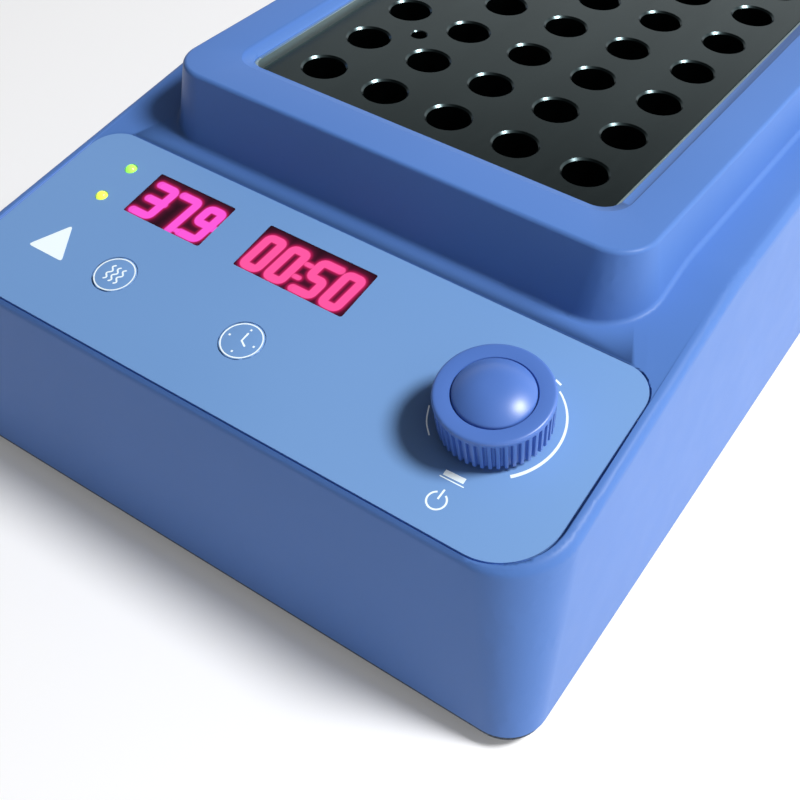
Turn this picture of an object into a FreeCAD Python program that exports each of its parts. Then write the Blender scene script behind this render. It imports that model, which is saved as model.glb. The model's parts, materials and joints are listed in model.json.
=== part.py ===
"""Dry block heater: a moulded bench-top housing with a sloping control panel and a lift-out tube block."""
import FreeCAD, Part
import math
import os
from FreeCAD import Placement, Rotation, Vector

# Driving dimensions, in millimetres. Origin: middle of the footprint, on the bench. Front faces -Y.
WIDTH = 175.0                # across the front, at the seam
DEPTH = 290.0
HEIGHT = 85.0
FOOT_DROP = 3.3              # gap between bench and base tray
SEAM_Z = 5.0                 # lower edge of the housing wall
SHELL = 2.5                  # moulded wall thickness
Y_FRONT = -DEPTH / 2
Y_BACK = DEPTH / 2
WALL_DRAFT = 0.054           # how far front and side walls lean in, per mm of height
PLAN_TAPER = 0.028           # how far each side closes in towards the back, per mm of depth
FRONT_CORNER_R = 10.0        # at the seam
CORNER_GROWTH = 0.12         # front corner radius grows with height
REAR_CORNER_R = 9.0
DECK_EDGE_R = 3.0

# Deck: a sloping panel at the front, a level rear.
DECK_FRONT_Z = 54.5
DECK_SLOPE = 0.19
PANEL_TILT = math.degrees(math.atan(DECK_SLOPE))
REAR_DECK_Z = 72.0
KNEE_R = 50.0

# Tube block: 5 by 7 wells for 1.5 and 2 ml tubes.
PITCH = 19.05
COLUMNS = 5
ROWS = 7
EDGE_MARGIN = 12.1           # outer hole centre to block edge
TUBE_R = 5.5
TUBE_CHAMFER = 0.5
TUBE_DEPTH = 37.0
BLOCK_X = (COLUMNS - 1) / 2 * PITCH + EDGE_MARGIN
BLOCK_Y = (ROWS - 1) / 2 * PITCH + EDGE_MARGIN
BLOCK_TOP_Z = 81.1
BLOCK_H = 42.0
BLOCK_CY = 8.3               # the block stands a little behind the middle
BLOCK_CORNER_R = 3.0
PROBE_R = 2.1                # thermometer hole

# Well liner and what lies under it.
LINER_GAP = 0.8
LINER_T = 0.9
LINER_TOP_Z = 82.8
FLOOR_T = 1.5
FLOOR_TOP_Z = BLOCK_TOP_Z - BLOCK_H - 0.15
PLATE_T = 6.0
FILM_T = 1.4
PAD_T = 8.0
LINER_X = BLOCK_X + LINER_GAP + LINER_T
LINER_Y = BLOCK_Y + LINER_GAP + LINER_T
PLATE_TOP_Z = FLOOR_TOP_Z - FLOOR_T
FILM_TOP_Z = PLATE_TOP_Z - PLATE_T
PAD_TOP_Z = FILM_TOP_Z - FILM_T
SENSOR_Z = FILM_TOP_Z + PLATE_T / 2
PLATE_X = 49.0
PLATE_Y = 67.0
FILM_X = 39.0
FILM_Y = 56.0
PILLAR_X = 44.5
PILLAR_Y = 62.5
CUTOUT_X = 22.0

# Collar round the well.
COLLAR_X = 65.6              # half width at the top
COLLAR_Y = 85.0              # half depth at the top
COLLAR_DRAFT = 0.18
COLLAR_CORNER_R = 10.0
COLLAR_CORNER_GROWTH = 0.25
OPENING_X = LINER_X + 0.3
OPENING_Y = LINER_Y + 0.3
OPENING_CORNER_R = 5.5
LEDGE_W = 2.7
LEDGE_DEPTH = 1.0

# Control panel, in panel coordinates: u to the right, v up the slope, w out of the deck.
RECESS_DEPTH = 0.8
OVERLAY_TOP = -0.2
OVERLAY_FRONT_V = 3.9
OVERLAY_BACK_V = 61.1
OVERLAY_FRONT_U = 80.7
OVERLAY_BACK_U = 79.3
OVERLAY_FRONT_R = 14.0
OVERLAY_BACK_R = 8.0
RECESS_GAP = 0.45
WINDOWS = {"temperature": (-44.25, 47.0, 23.9, 14.2), "timer": (-5.65, 47.0, 31.5, 14.3)}
KEYS = {"heat": (-43.4, 22.9), "timer": (-4.9, 22.9)}
LAMPS = {"heat": (-64.3, 51.6), "timer": (-64.3, 40.8)}
KNOB = (55.4, 33.1)
KEY_R = 5.3
KEY_GAP = 0.18
LAMP_R = 1.5
LAMP_GAP = 0.15
WINDOW_GAP = 0.1
WINDOW_R = 0.6
BUSH_HOLE_R = 3.6
BOARD_TOP = -11.0            # display board, component side
BOARD_T = 1.6
BOARD_U = 69.0
BOARD_V = (8.0, 58.0)
BOARD_HOLES = [(-65.0, 12.0), (65.0, 12.0), (-65.0, 26.0), (65.0, 54.0)]
KEY_TRAVEL = 0.4
KNOB_TRAVEL = 0.8
SHAFT_R = 3.0
KNOB_LOW = 1.4               # knob heights are above the deck
KNOB_HUB = (3.8, 7.2)
KNOB_EDGE = 10.2             # height of the ring's widest circle
KNOB_RIM = 11.2
KNOB_FOOT_R = 12.3
KNOB_R = 12.8
KNOB_RECESS_R = 8.8
CAP_CROWN = 14.6
FLUTES = 46
FLUTE_R = 0.45

# Base tray, feet and fasteners.
TRAY_INSET = 0.7
TRAY_RIM_TOP = 4.4
TRAY_TOP = FOOT_DROP + 3.0
TONGUE_H = 4.5
HOUSING_BOSSES = [(77.0, -128.0), (73.5, 8.0), (67.0, 131.0)]
FEET = {"front_left": (-62.0, -118.0), "front_right": (62.0, -118.0),
        "rear_left": (-55.0, 118.0), "rear_right": (55.0, 118.0)}
FOOT_R = 9.0
FOOT_RECESS = 1.5
M3_R = 1.5
SCREW_SEAT = 1.7             # depth of the seats under the tray
FOOT_SCREW_SEAT = 2.6

# Power board, at the front under the panel.
POWER_X = 66.0
POWER_Y = (-136.0, -78.0)
POWER_Z = 12.0
TERMINALS = [-21.0, -14.0, -7.0, 0.0, 7.0, 14.0, 21.0]
POWER_POSTS = [(-60.0, -130.0), (60.0, -130.0), (-60.0, -84.0), (60.0, -84.0)]
POWER_FACE_Z = POWER_Z + BOARD_T
LEAD_Z = POWER_FACE_Z + 6.0  # height of the wire entries in the terminal block
TERMINAL_HALF_X = 27.0
TERMINAL_Y = (-90.0, -80.4)
TERMINAL_H = 11.0
TRANSFORMER = (-28.0, -111.0)
CORE_HALF = (18.0, 7.0)
CORE_Z = (4.0, 23.0)         # heights of core and winding are above the board
CORE_LIMB = 6.0
WINDING_HALF = (11.6, 12.0)
WINDING_Z = (9.0, 18.0)
SINK_X = 18.0
SINK_BACK_Y = (-108.0, -105.0)
SINK_H = 22.0
FINS = 8
FIN_PITCH = 4.6
FIN_T = 1.6
FIN_DEPTH = 16.0
TRIAC_X = (30.0, 40.0)
TRIAC_T = 4.4
TAB_T = 1.2
LEG_PITCH = 2.54
CAPACITOR = (4.0, -122.0)
CAPACITOR_R = 5.0
CAPACITOR_H = 16.0
RIBBON_Y = -95.5             # at the power board
RIBBON_V = 45.0              # at the display board
RIBBON_HALF = 8.0
RIBBON_T = 1.0
CONNECTOR_HALF = (9.0, 2.6)
CONNECTOR_H = (6.0, 5.0)     # at the power board and at the display board

# Mains inlet in the rear wall.
INLET_Z = 38.0
INLET_FACE_Y = Y_BACK - 0.2
INLET_FLANGE = (50.0, 33.0, 2.5)
INLET_FLOOR_Y = INLET_FACE_Y - INLET_FLANGE[2]
INLET_BODY = (30.0, 31.0, 28.0)
INLET_SCREW_X = 20.0
SOCKET = (24.0, 16.4, 16.0)
SOCKET_Z = 43.5
PINS = [(-7.0, 42.6), (7.0, 42.6), (0.0, 47.6)]
TAB_LENGTH = 8.0             # of the pins' tabs behind the inlet's body
DRAWER = (18.0, 8.0, 23.0)
DRAWER_Z = 28.2
FUSE_R = 2.6
FUSE_X = 4.2


def cylinder(radius, height, base, axis=Vector(0, 0, 1)):
    return Part.makeCylinder(radius, height, Vector(*base), axis)


def cone(low_radius, high_radius, height, base, axis=Vector(0, 0, 1)):
    return Part.makeCone(low_radius, high_radius, height, Vector(*base), axis)


def block(x, y, z):
    """Box from three (low, high) spans."""
    return Part.makeBox(x[1] - x[0], y[1] - y[0], z[1] - z[0], Vector(x[0], y[0], z[0]))


def outline(points, radii):
    """Closed planar wire through the corner points, each corner rounded by its radius."""
    corners = []
    for index, corner in enumerate(points):
        back = (points[index - 1] - corner).normalize()
        ahead = (points[(index + 1) % len(points)] - corner).normalize()
        half_angle = back.getAngle(ahead) / 2
        reach = radii[index] / math.tan(half_angle)
        bisector = (back + ahead).normalize()
        middle = corner + bisector * (radii[index] / math.sin(half_angle) - radii[index])
        corners.append((corner + back * reach, middle, corner + ahead * reach))
    edges = []
    for index, (start, middle, end) in enumerate(corners):
        if radii[index] > 0:
            edges.append(Part.Arc(start, middle, end).toShape())
        next_start = corners[(index + 1) % len(corners)][0]
        edges.append(Part.LineSegment(end, next_start).toShape())
    return Part.Wire(edges)


def rectangle(half_x, half_y, z, radius, centre=(0.0, 0.0)):
    """Round-cornered rectangle, level, at height z."""
    signs = [(-1, -1), (1, -1), (1, 1), (-1, 1)]
    points = [Vector(centre[0] + sx * half_x, centre[1] + sy * half_y, z) for sx, sy in signs]
    return outline(points, [radius] * 4)


def slab(half_x, half_y, z, radius, centre=(0.0, 0.0)):
    """Round-cornered plate between the two heights of z."""
    face = Part.Face(rectangle(half_x, half_y, z[0], radius, centre))
    return face.extrude(Vector(0, 0, z[1] - z[0]))


def loft(lower, upper):
    return Part.makeLoft([lower, upper], True, True)


def on_panel(shape):
    """Turn a shape made in panel coordinates into its place on the sloping deck."""
    tilt = Placement(Vector(0, Y_FRONT, DECK_FRONT_Z), Rotation(Vector(1, 0, 0), PANEL_TILT))
    placed = shape.copy()
    placed.Placement = tilt.multiply(shape.Placement)
    return placed


def union(shapes):
    return shapes[0].fuse(shapes[1:]).removeSplitter()


def group(shapes):
    return Part.makeCompound(shapes)


def pan_screw(length, tip, axis):
    """M3 pan-head screw with a cross recess; its tip is at the given point and it points along axis."""
    head_r = 2.8
    head_h = 2.0
    shank = cylinder(M3_R, length, (0, 0, 0))
    head = cylinder(head_r, head_h, (0, 0, length))
    rims = [edge for edge in head.Edges if edge.BoundBox.ZMin > length + head_h - 1e-6]
    head = head.makeFillet(0.7, rims)
    cross = union([block((-1.5, 1.5), (-0.3, 0.3), (length + 0.9, length + head_h + 1)),
                   block((-0.3, 0.3), (-1.5, 1.5), (length + 0.9, length + head_h + 1))])
    screw = union([shank, head]).cut(cross)
    screw.Placement = Placement(Vector(*tip), Rotation(Vector(0, 0, -1), Vector(*axis)))
    return screw


def wall_outline(z, inset=0.0):
    """Outline of the walls at height z, moved inwards by inset."""
    rise = z - SEAM_Z
    front = Y_FRONT + WALL_DRAFT * rise + inset
    back = Y_BACK - inset
    half_at_front = WIDTH / 2 - WALL_DRAFT * rise - inset
    points = []
    for sign, y in [(-1, front), (1, front), (1, back), (-1, back)]:
        points.append(Vector(sign * (half_at_front - PLAN_TAPER * (y - Y_FRONT)), y, z))
    front_r = FRONT_CORNER_R + CORNER_GROWTH * rise - inset
    return outline(points, [front_r, front_r, REAR_CORNER_R - inset, REAR_CORNER_R - inset])


def above_deck(drop):
    """Everything above a surface that lies drop below the deck: a slope, a knee and a level rear."""
    lean = math.hypot(1, DECK_SLOPE)
    rear_z = REAR_DECK_Z - drop
    knee_y = Y_FRONT + (rear_z - DECK_FRONT_Z + drop * lean) / DECK_SLOPE
    start_y = Y_FRONT - 20
    start_z = DECK_FRONT_Z - drop * lean + DECK_SLOPE * (start_y - Y_FRONT)
    end_y = Y_BACK + 20
    top_z = HEIGHT + 60
    profile = [(start_y, start_z), (knee_y, rear_z), (end_y, rear_z), (end_y, top_z), (start_y, top_z)]
    points = [Vector(-WIDTH, y, z) for y, z in profile]
    face = Part.Face(outline(points, [0, KNEE_R - drop, 0, 0, 0]))
    return face.extrude(Vector(2 * WIDTH, 0, 0))


def collar_solid(low_z, high_z, inset=0.0):
    """The collar's drafted body between two heights."""
    wires = []
    for z in (low_z, high_z):
        fall = HEIGHT - z
        grow = COLLAR_DRAFT * fall - inset
        radius = COLLAR_CORNER_R + COLLAR_CORNER_GROWTH * fall - inset
        wires.append(rectangle(COLLAR_X + grow, COLLAR_Y + grow, z, radius, (0, BLOCK_CY)))
    return loft(*wires)


def housing_outside():
    body = loft(wall_outline(SEAM_Z), wall_outline(HEIGHT)).cut(above_deck(0))
    rim = []
    for edge in body.Edges:
        middle = edge.valueAt((edge.FirstParameter + edge.LastParameter) / 2)
        on_slope = DECK_FRONT_Z + DECK_SLOPE * (middle.y - Y_FRONT)
        near_deck = abs(middle.z - min(on_slope, REAR_DECK_Z)) < 1.0
        across_knee = abs(middle.x) < 1.0 and abs(middle.y) < Y_BACK - 20
        if near_deck and not across_knee:
            rim.append(edge)
    body = body.makeFillet(DECK_EDGE_R, rim)
    collar = collar_solid(SEAM_Z + 40, HEIGHT)
    top_edges = [edge for edge in collar.Edges if edge.BoundBox.ZMin > HEIGHT - 0.01]
    collar = collar.makeFillet(1.2, top_edges)
    return body.fuse(collar).removeSplitter()


def collar_base_fillet(body):
    """Soften the inside corner where the collar rises from the deck."""
    base = []
    for edge in body.Edges:
        middle = edge.valueAt((edge.FirstParameter + edge.LastParameter) / 2)
        on_slope = DECK_FRONT_Z + DECK_SLOPE * (middle.y - Y_FRONT)
        on_deck = abs(middle.z - min(on_slope, REAR_DECK_Z)) < 0.6
        box = edge.BoundBox
        inside = max(abs(box.XMin), abs(box.XMax)) < 72 and box.YMin > -85 and box.YMax < 100
        if on_deck and inside:
            base.append(edge)
    return body.makeFillet(1.5, base)


def housing_cavity():
    """The hollow inside the housing."""
    walls = loft(wall_outline(SEAM_Z - 5, SHELL), wall_outline(HEIGHT, SHELL)).cut(above_deck(SHELL))
    top = HEIGHT - LEDGE_DEPTH - SHELL
    return walls.fuse(collar_solid(SEAM_Z + 40, top, SHELL))


def upper_housing():
    body = collar_base_fillet(housing_outside())
    cavity = housing_cavity()
    shell = body.cut(cavity)
    added = []
    for x, y in HOUSING_BOSSES:
        for sign in (-1, 1):
            added.append(cylinder(4.0, HEIGHT, (sign * x, y, TRAY_TOP)).common(cavity))
    for u, v in BOARD_HOLES:
        added.append(on_panel(cylinder(3.0, -BOARD_TOP, (u, v, BOARD_TOP))).common(cavity))
    pad = block((-29, 29), (INLET_FLOOR_Y - 3.4, Y_BACK - SHELL), (INLET_Z - 20, INLET_Z + 20))
    added.append(pad)
    for sign in (-1, 1):
        base = (sign * INLET_SCREW_X, INLET_FLOOR_Y - 12, INLET_Z)
        added.append(cylinder(4.0, 10, base, Vector(0, 1, 0)))
    shell = shell.fuse(added).removeSplitter()
    return shell.cut(housing_openings())


def housing_openings():
    """Everything that is cut through or into the housing."""
    centre = (0, BLOCK_CY)
    cuts = [slab(OPENING_X, OPENING_Y, (HEIGHT - 20, HEIGHT + 1), OPENING_CORNER_R, centre),
            slab(OPENING_X + LEDGE_W, OPENING_Y + LEDGE_W, (HEIGHT - LEDGE_DEPTH, HEIGHT + 1),
                 OPENING_CORNER_R + 2, centre),
            on_panel(overlay_blank(RECESS_GAP, -RECESS_DEPTH, 3.0))]
    for u, v, wide, high in WINDOWS.values():
        cuts.append(on_panel(slab(wide / 2 + WINDOW_GAP, high / 2 + WINDOW_GAP, (-6, 1), WINDOW_R, (u, v))))
    for u, v in KEYS.values():
        cuts.append(on_panel(cylinder(KEY_R + KEY_GAP, 7, (u, v, -6))))
    for u, v in LAMPS.values():
        cuts.append(on_panel(cylinder(LAMP_R + LAMP_GAP, 7, (u, v, -6))))
    cuts.append(on_panel(cylinder(BUSH_HOLE_R, 7, (*KNOB, -6))))
    for u, v in BOARD_HOLES:
        cuts.append(on_panel(cylinder(M3_R, 7, (u, v, BOARD_TOP - 0.5))))
    for x, y in HOUSING_BOSSES:
        for sign in (-1, 1):
            cuts.append(cylinder(M3_R, 16, (sign * x, y, TRAY_TOP - 1)))
    gap = 0.2
    inlet_y = [(INLET_FLOOR_Y, Y_BACK + 5), (INLET_FLOOR_Y - 20, Y_BACK)]
    for size, y in zip((INLET_FLANGE, INLET_BODY), inlet_y):
        half_x = size[0] / 2 + gap
        half_z = size[1] / 2 + gap
        cuts.append(block((-half_x, half_x), y, (INLET_Z - half_z, INLET_Z + half_z)))
    for sign in (-1, 1):
        base = (sign * INLET_SCREW_X, INLET_FLOOR_Y - 11, INLET_Z)
        cuts.append(cylinder(M3_R, 14, base, Vector(0, 1, 0)))
    return group(cuts)


def overlay_blank(grow, low, high):
    """The panel's outline, in panel coordinates, between two heights."""
    points = [Vector(-OVERLAY_FRONT_U - grow, OVERLAY_FRONT_V - grow, low),
              Vector(OVERLAY_FRONT_U + grow, OVERLAY_FRONT_V - grow, low),
              Vector(OVERLAY_BACK_U + grow, OVERLAY_BACK_V + grow, low),
              Vector(-OVERLAY_BACK_U - grow, OVERLAY_BACK_V + grow, low)]
    front = OVERLAY_FRONT_R + grow
    back = OVERLAY_BACK_R + grow
    return Part.Face(outline(points, [front, front, back, back])).extrude(Vector(0, 0, high - low))


def panel_overlay():
    sheet = overlay_blank(0, -RECESS_DEPTH, OVERLAY_TOP)
    holes = []
    for u, v, wide, high in WINDOWS.values():
        holes.append(slab(wide / 2 + WINDOW_GAP, high / 2 + WINDOW_GAP, (-2, 2), WINDOW_R, (u, v)))
    for u, v in KEYS.values():
        holes.append(cylinder(KEY_R + KEY_GAP, 4, (u, v, -2)))
    for u, v in LAMPS.values():
        holes.append(cylinder(LAMP_R + LAMP_GAP, 4, (u, v, -2)))
    holes.append(cylinder(BUSH_HOLE_R, 4, (*KNOB, -2)))
    return on_panel(sheet.cut(group(holes)))


def display_window(name):
    u, v, wide, high = WINDOWS[name]
    return on_panel(slab(wide / 2, high / 2, (-SHELL - 0.1, OVERLAY_TOP - 0.05), 0.5, (u, v)))


def display_module(name):
    """LED digit module: a potted case on the display board."""
    u, v, wide, high = WINDOWS[name]
    case = slab(wide / 2 - 0.3, high / 2 - 0.3, (BOARD_TOP, -3.2), 0.4, (u, v))
    return on_panel(case)


def indicator_lamp(name):
    """A 3 mm lamp whose dome shows through the panel."""
    u, v = LAMPS[name]
    flange = cylinder(LAMP_R + 0.4, 1.0, (u, v, -7.0))
    barrel = cylinder(LAMP_R, 5.2, (u, v, -6.0))
    dome = Part.makeSphere(LAMP_R, Vector(u, v, -0.8))
    return on_panel(union([flange, barrel, dome]))


def indicator_spacers():
    return group([on_panel(cylinder(LAMP_R + 0.4, 4.0, (u, v, BOARD_TOP))) for u, v in LAMPS.values()])


def key_cap(name):
    """Pressed from the front; its flange keeps it behind the panel and its stem works the switch."""
    u, v = KEYS[name]
    cap = cylinder(KEY_R, OVERLAY_TOP + SHELL + 0.5, (u, v, -SHELL - 0.5))
    flange = cylinder(KEY_R + 1.3, 0.8, (u, v, -SHELL - 1.2))
    stem = cylinder(2.0, 2.5, (u, v, -6.0))
    return on_panel(union([cap, flange, stem]))


def switch_body(name):
    u, v = KEYS[name]
    case = slab(3.1, 3.1, (BOARD_TOP, -7.5), 0.4, (u, v))
    bore = cylinder(1.8, 4.0, (u, v, -10.4))
    return on_panel(case.cut(bore))


def switch_plunger(name):
    u, v = KEYS[name]
    return on_panel(cylinder(1.7, 3.6, (u, v, -9.6)))


def display_board():
    centre = (0, sum(BOARD_V) / 2)
    half_v = (BOARD_V[1] - BOARD_V[0]) / 2
    board = slab(BOARD_U, half_v, (BOARD_TOP - BOARD_T, BOARD_TOP), 1.5, centre)
    holes = [cylinder(M3_R + 0.1, 4, (u, v, BOARD_TOP - 3)) for u, v in BOARD_HOLES]
    return on_panel(board.cut(group(holes)))


def display_board_screws():
    """Driven from below, square to the sloping board."""
    grip = 6.0
    screws = [pan_screw(grip + BOARD_T, (u, v, BOARD_TOP + grip), (0, 0, 1)) for u, v in BOARD_HOLES]
    return group([on_panel(screw) for screw in screws])


def encoder_body():
    """Rotary and push switch behind the knob."""
    u, v = KNOB
    case = slab(6.2, 6.0, (BOARD_TOP, -SHELL), 0.4, (u, v))
    shaft_bore = cylinder(SHAFT_R + 0.05, 9.0, (u, v, -10.2))
    return on_panel(case.cut(shaft_bore))


def encoder_bush():
    """Threaded bush that clamps the switch to the housing."""
    u, v = KNOB
    tube = cylinder(BUSH_HOLE_R - 0.1, SHELL + 2.2, (u, v, -SHELL))
    return on_panel(tube.cut(cylinder(SHAFT_R + 0.05, 8, (u, v, -SHELL - 1))))


def encoder_nut():
    u, v = KNOB
    corner = 6.0
    turns = [math.radians(60 * k) for k in range(7)]
    points = [Vector(u + corner * math.cos(t), v + corner * math.sin(t), OVERLAY_TOP + 0.5) for t in turns]
    nut = Part.Face(Part.makePolygon(points)).extrude(Vector(0, 0, 1.4))
    return on_panel(nut.cut(cylinder(BUSH_HOLE_R - 0.1, 4, (u, v, -1))))


def encoder_washer():
    u, v = KNOB
    ring = cylinder(6.2, 0.5, (u, v, OVERLAY_TOP))
    return on_panel(ring.cut(cylinder(BUSH_HOLE_R, 2, (u, v, -1))))


def push_plunger():
    """Disc under the shaft that carries the push to the switch contacts."""
    u, v = KNOB
    return on_panel(cylinder(SHAFT_R - 0.1, 0.9, (u, v, -9.1)))


def knob_shaft():
    u, v = KNOB
    low = -8.2
    return on_panel(cylinder(SHAFT_R, KNOB_HUB[1] - low, (u, v, low)))


def knob_grip():
    """Fluted outer ring with a hub; the rim is rolled over and the top is sunk for the cap."""
    u, v = KNOB
    hub_low, hub_top = KNOB_HUB
    hollow_r = 7.6
    profile = [(SHAFT_R, hub_low), (hollow_r, hub_low), (hollow_r, KNOB_LOW), (KNOB_FOOT_R, KNOB_LOW),
               (KNOB_R, KNOB_EDGE)]
    edges = [Part.LineSegment(Vector(a[0], 0, a[1]), Vector(b[0], 0, b[1])).toShape()
             for a, b in zip(profile, profile[1:])]
    rim_start = Vector(KNOB_R, 0, KNOB_EDGE)
    rim_top = Vector(KNOB_R - 0.8, 0, KNOB_RIM - 0.1)
    rim_end = Vector(KNOB_RECESS_R + 0.3, 0, KNOB_RIM - 0.3)
    edges.append(Part.Arc(rim_start, Vector(KNOB_R - 0.2, 0, KNOB_EDGE + 0.6), rim_top).toShape())
    edges.append(Part.Arc(rim_top, Vector((rim_top.x + rim_end.x) / 2, 0, KNOB_RIM), rim_end).toShape())
    closing = [(rim_end.x, rim_end.z), (KNOB_RECESS_R, hub_top), (SHAFT_R, hub_top), (SHAFT_R, hub_low)]
    edges += [Part.LineSegment(Vector(a[0], 0, a[1]), Vector(b[0], 0, b[1])).toShape()
              for a, b in zip(closing, closing[1:])]
    body = Part.Face(Part.Wire(edges)).revolve(Vector(0, 0, 0), Vector(0, 0, 1), 360)
    lean = math.atan2(KNOB_R - KNOB_FOOT_R, KNOB_EDGE - KNOB_LOW)
    flute = cylinder(FLUTE_R, KNOB_EDGE, (0, 0, -1))
    flute.rotate(Vector(0, 0, 0), Vector(0, 1, 0), math.degrees(lean))
    flute.translate(Vector(KNOB_FOOT_R + 0.1, 0, KNOB_LOW))
    flutes = []
    for k in range(FLUTES):
        cut = flute.copy()
        cut.rotate(Vector(0, 0, 0), Vector(0, 0, 1), 360 / FLUTES * k)
        flutes.append(cut)
    body = body.cut(group(flutes))
    body.translate(Vector(u, v, 0))
    return on_panel(body)


def knob_cap():
    """Domed cap pressed into the grip."""
    u, v = KNOB
    low = KNOB_HUB[1]
    shoulder = KNOB_RIM + 0.3
    rise = CAP_CROWN - shoulder
    sphere_r = (KNOB_RECESS_R ** 2 + rise ** 2) / (2 * rise)
    plug = cylinder(KNOB_RECESS_R, CAP_CROWN - low, (u, v, low))
    cap = plug.common(Part.makeSphere(sphere_r, Vector(u, v, CAP_CROWN - sphere_r)))
    shoulder_edges = [edge for edge in cap.Edges if abs(edge.BoundBox.ZMin - shoulder) < 0.01]
    return on_panel(cap.makeFillet(1.2, shoulder_edges))


def tube_centres():
    """Hole centres, front row first, left to right."""
    places = []
    for row in range(ROWS):
        for column in range(COLUMNS):
            x = (column - (COLUMNS - 1) / 2) * PITCH
            y = BLOCK_CY + (row - (ROWS - 1) / 2) * PITCH
            places.append((x, y))
    return places


def heat_block():
    body = slab(BLOCK_X, BLOCK_Y, (BLOCK_TOP_Z - BLOCK_H, BLOCK_TOP_Z), BLOCK_CORNER_R, (0, BLOCK_CY))
    rims = [edge for edge in body.Edges if edge.BoundBox.ZMin > BLOCK_TOP_Z - 0.01]
    body = body.makeChamfer(0.6, rims)
    cuts = []
    straight = TUBE_DEPTH - 6.0
    for x, y in tube_centres():
        bore = cylinder(TUBE_R, straight + 1, (x, y, BLOCK_TOP_Z - straight))
        tip = cone(2.0, TUBE_R, 6.0, (x, y, BLOCK_TOP_Z - TUBE_DEPTH))
        mouth = cone(TUBE_R, TUBE_R + TUBE_CHAMFER, TUBE_CHAMFER, (x, y, BLOCK_TOP_Z - TUBE_CHAMFER))
        cuts.append(union([bore, tip, mouth]))
    probe_x = -1.5 * PITCH
    probe_y = BLOCK_CY - 1.5 * PITCH
    cuts.append(cylinder(PROBE_R, 30, (probe_x, probe_y, BLOCK_TOP_Z - 28)))
    return body.cut(group(cuts))


def block_well():
    """Folded liner that the block stands in."""
    inner_r = BLOCK_CORNER_R + LINER_GAP
    outer = slab(LINER_X, LINER_Y, (PLATE_TOP_Z, LINER_TOP_Z), inner_r + LINER_T, (0, BLOCK_CY))
    inner = slab(LINER_X - LINER_T, LINER_Y - LINER_T, (FLOOR_TOP_Z, LINER_TOP_Z + 1), inner_r, (0, BLOCK_CY))
    holes = [cone(M3_R, M3_R + FLOOR_T, FLOOR_T, (x, y, PLATE_TOP_Z)) for x, y in pillar_places()]
    return outer.cut(inner).cut(group(holes))


def pillar_places():
    return [(sx * PILLAR_X, BLOCK_CY + sy * PILLAR_Y) for sx in (-1, 1) for sy in (-1, 1)]


def well_screws():
    """Countersunk screws from inside the well, through the plate, into the pillars."""
    screws = []
    for x, y in pillar_places():
        head = cone(M3_R, M3_R + 1.4, 1.4, (x, y, FLOOR_TOP_Z - 1.5))
        shank = cylinder(M3_R, 12, (x, y, FLOOR_TOP_Z - 13.5))
        slot = block((x - 2, x + 2), (y - 0.35, y + 0.35), (FLOOR_TOP_Z - 0.8, FLOOR_TOP_Z + 1))
        screws.append(union([head, shank]).cut(slot))
    return group(screws)


def heater_plate():
    plate = slab(PLATE_X, PLATE_Y, (FILM_TOP_Z, PLATE_TOP_Z), 4.0, (0, BLOCK_CY))
    cuts = [cylinder(M3_R, 10, (x, y, FILM_TOP_Z - 1)) for x, y in pillar_places()]
    cuts.append(cylinder(2.0, 28, (0, BLOCK_CY - PLATE_Y, SENSOR_Z), Vector(0, 1, 0)))
    return plate.cut(group(cuts))


def temperature_sensor():
    """Probe pushed into a blind hole in the plate's front edge."""
    y = BLOCK_CY - PLATE_Y
    probe = cylinder(1.95, 27, (0, y, SENSOR_Z), Vector(0, 1, 0))
    collar = cylinder(2.6, 2.6, (0, y - 2.6, SENSOR_Z), Vector(0, 1, 0))
    return union([probe, collar])


def heater_film():
    film = slab(FILM_X, FILM_Y, (PAD_TOP_Z, FILM_TOP_Z), 3.0, (0, BLOCK_CY))
    return film.cut(cylinder(8.4, 5, (CUTOUT_X, BLOCK_CY, PAD_TOP_Z - 1)))


def insulation_pad():
    pad = slab(FILM_X, FILM_Y, (PAD_TOP_Z - PAD_T, PAD_TOP_Z), 3.0, (0, BLOCK_CY))
    return pad.cut(cylinder(8.6, PAD_T + 2, (CUTOUT_X, BLOCK_CY, PAD_TOP_Z - PAD_T - 1)))


def thermal_cutout():
    """Disc thermostat held against the plate through the film and pad."""
    disc = cylinder(8.0, 9.0, (CUTOUT_X, BLOCK_CY, FILM_TOP_Z - 9.0))
    base = cylinder(6.5, 4.0, (CUTOUT_X, BLOCK_CY, FILM_TOP_Z - 13.0))
    tabs = [block((CUTOUT_X + s * 4 - 0.4, CUTOUT_X + s * 4 + 0.4), (BLOCK_CY - 3, BLOCK_CY + 3),
                  (FILM_TOP_Z - 18.5, FILM_TOP_Z - 13)) for s in (-1, 1)]
    return union([disc, base] + tabs)


def insulation_jacket():
    z = (24.0, HEIGHT - LEDGE_DEPTH - SHELL - 1.0)
    inner_x = LINER_X + 0.3
    inner_y = LINER_Y + 0.3
    outer = slab(inner_x + 6.5, inner_y + 6.5, z, 9.0, (0, BLOCK_CY))
    inner = slab(inner_x, inner_y, (z[0] - 1, z[1] + 1), 4.5, (0, BLOCK_CY))
    return outer.cut(inner)


def support_pillars():
    pillars = []
    for x, y in pillar_places():
        body = cylinder(4.0, FILM_TOP_Z - TRAY_TOP, (x, y, TRAY_TOP))
        top_bore = cylinder(M3_R, 8.2, (x, y, FILM_TOP_Z - 8))
        low_bore = cylinder(M3_R, 11.2, (x, y, TRAY_TOP - 0.2))
        pillars.append(body.cut(group([top_bore, low_bore])))
    return group(pillars)


def tray_screw_places():
    places = pillar_places()
    for x, y in HOUSING_BOSSES:
        places += [(-x, y), (x, y)]
    return places


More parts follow.
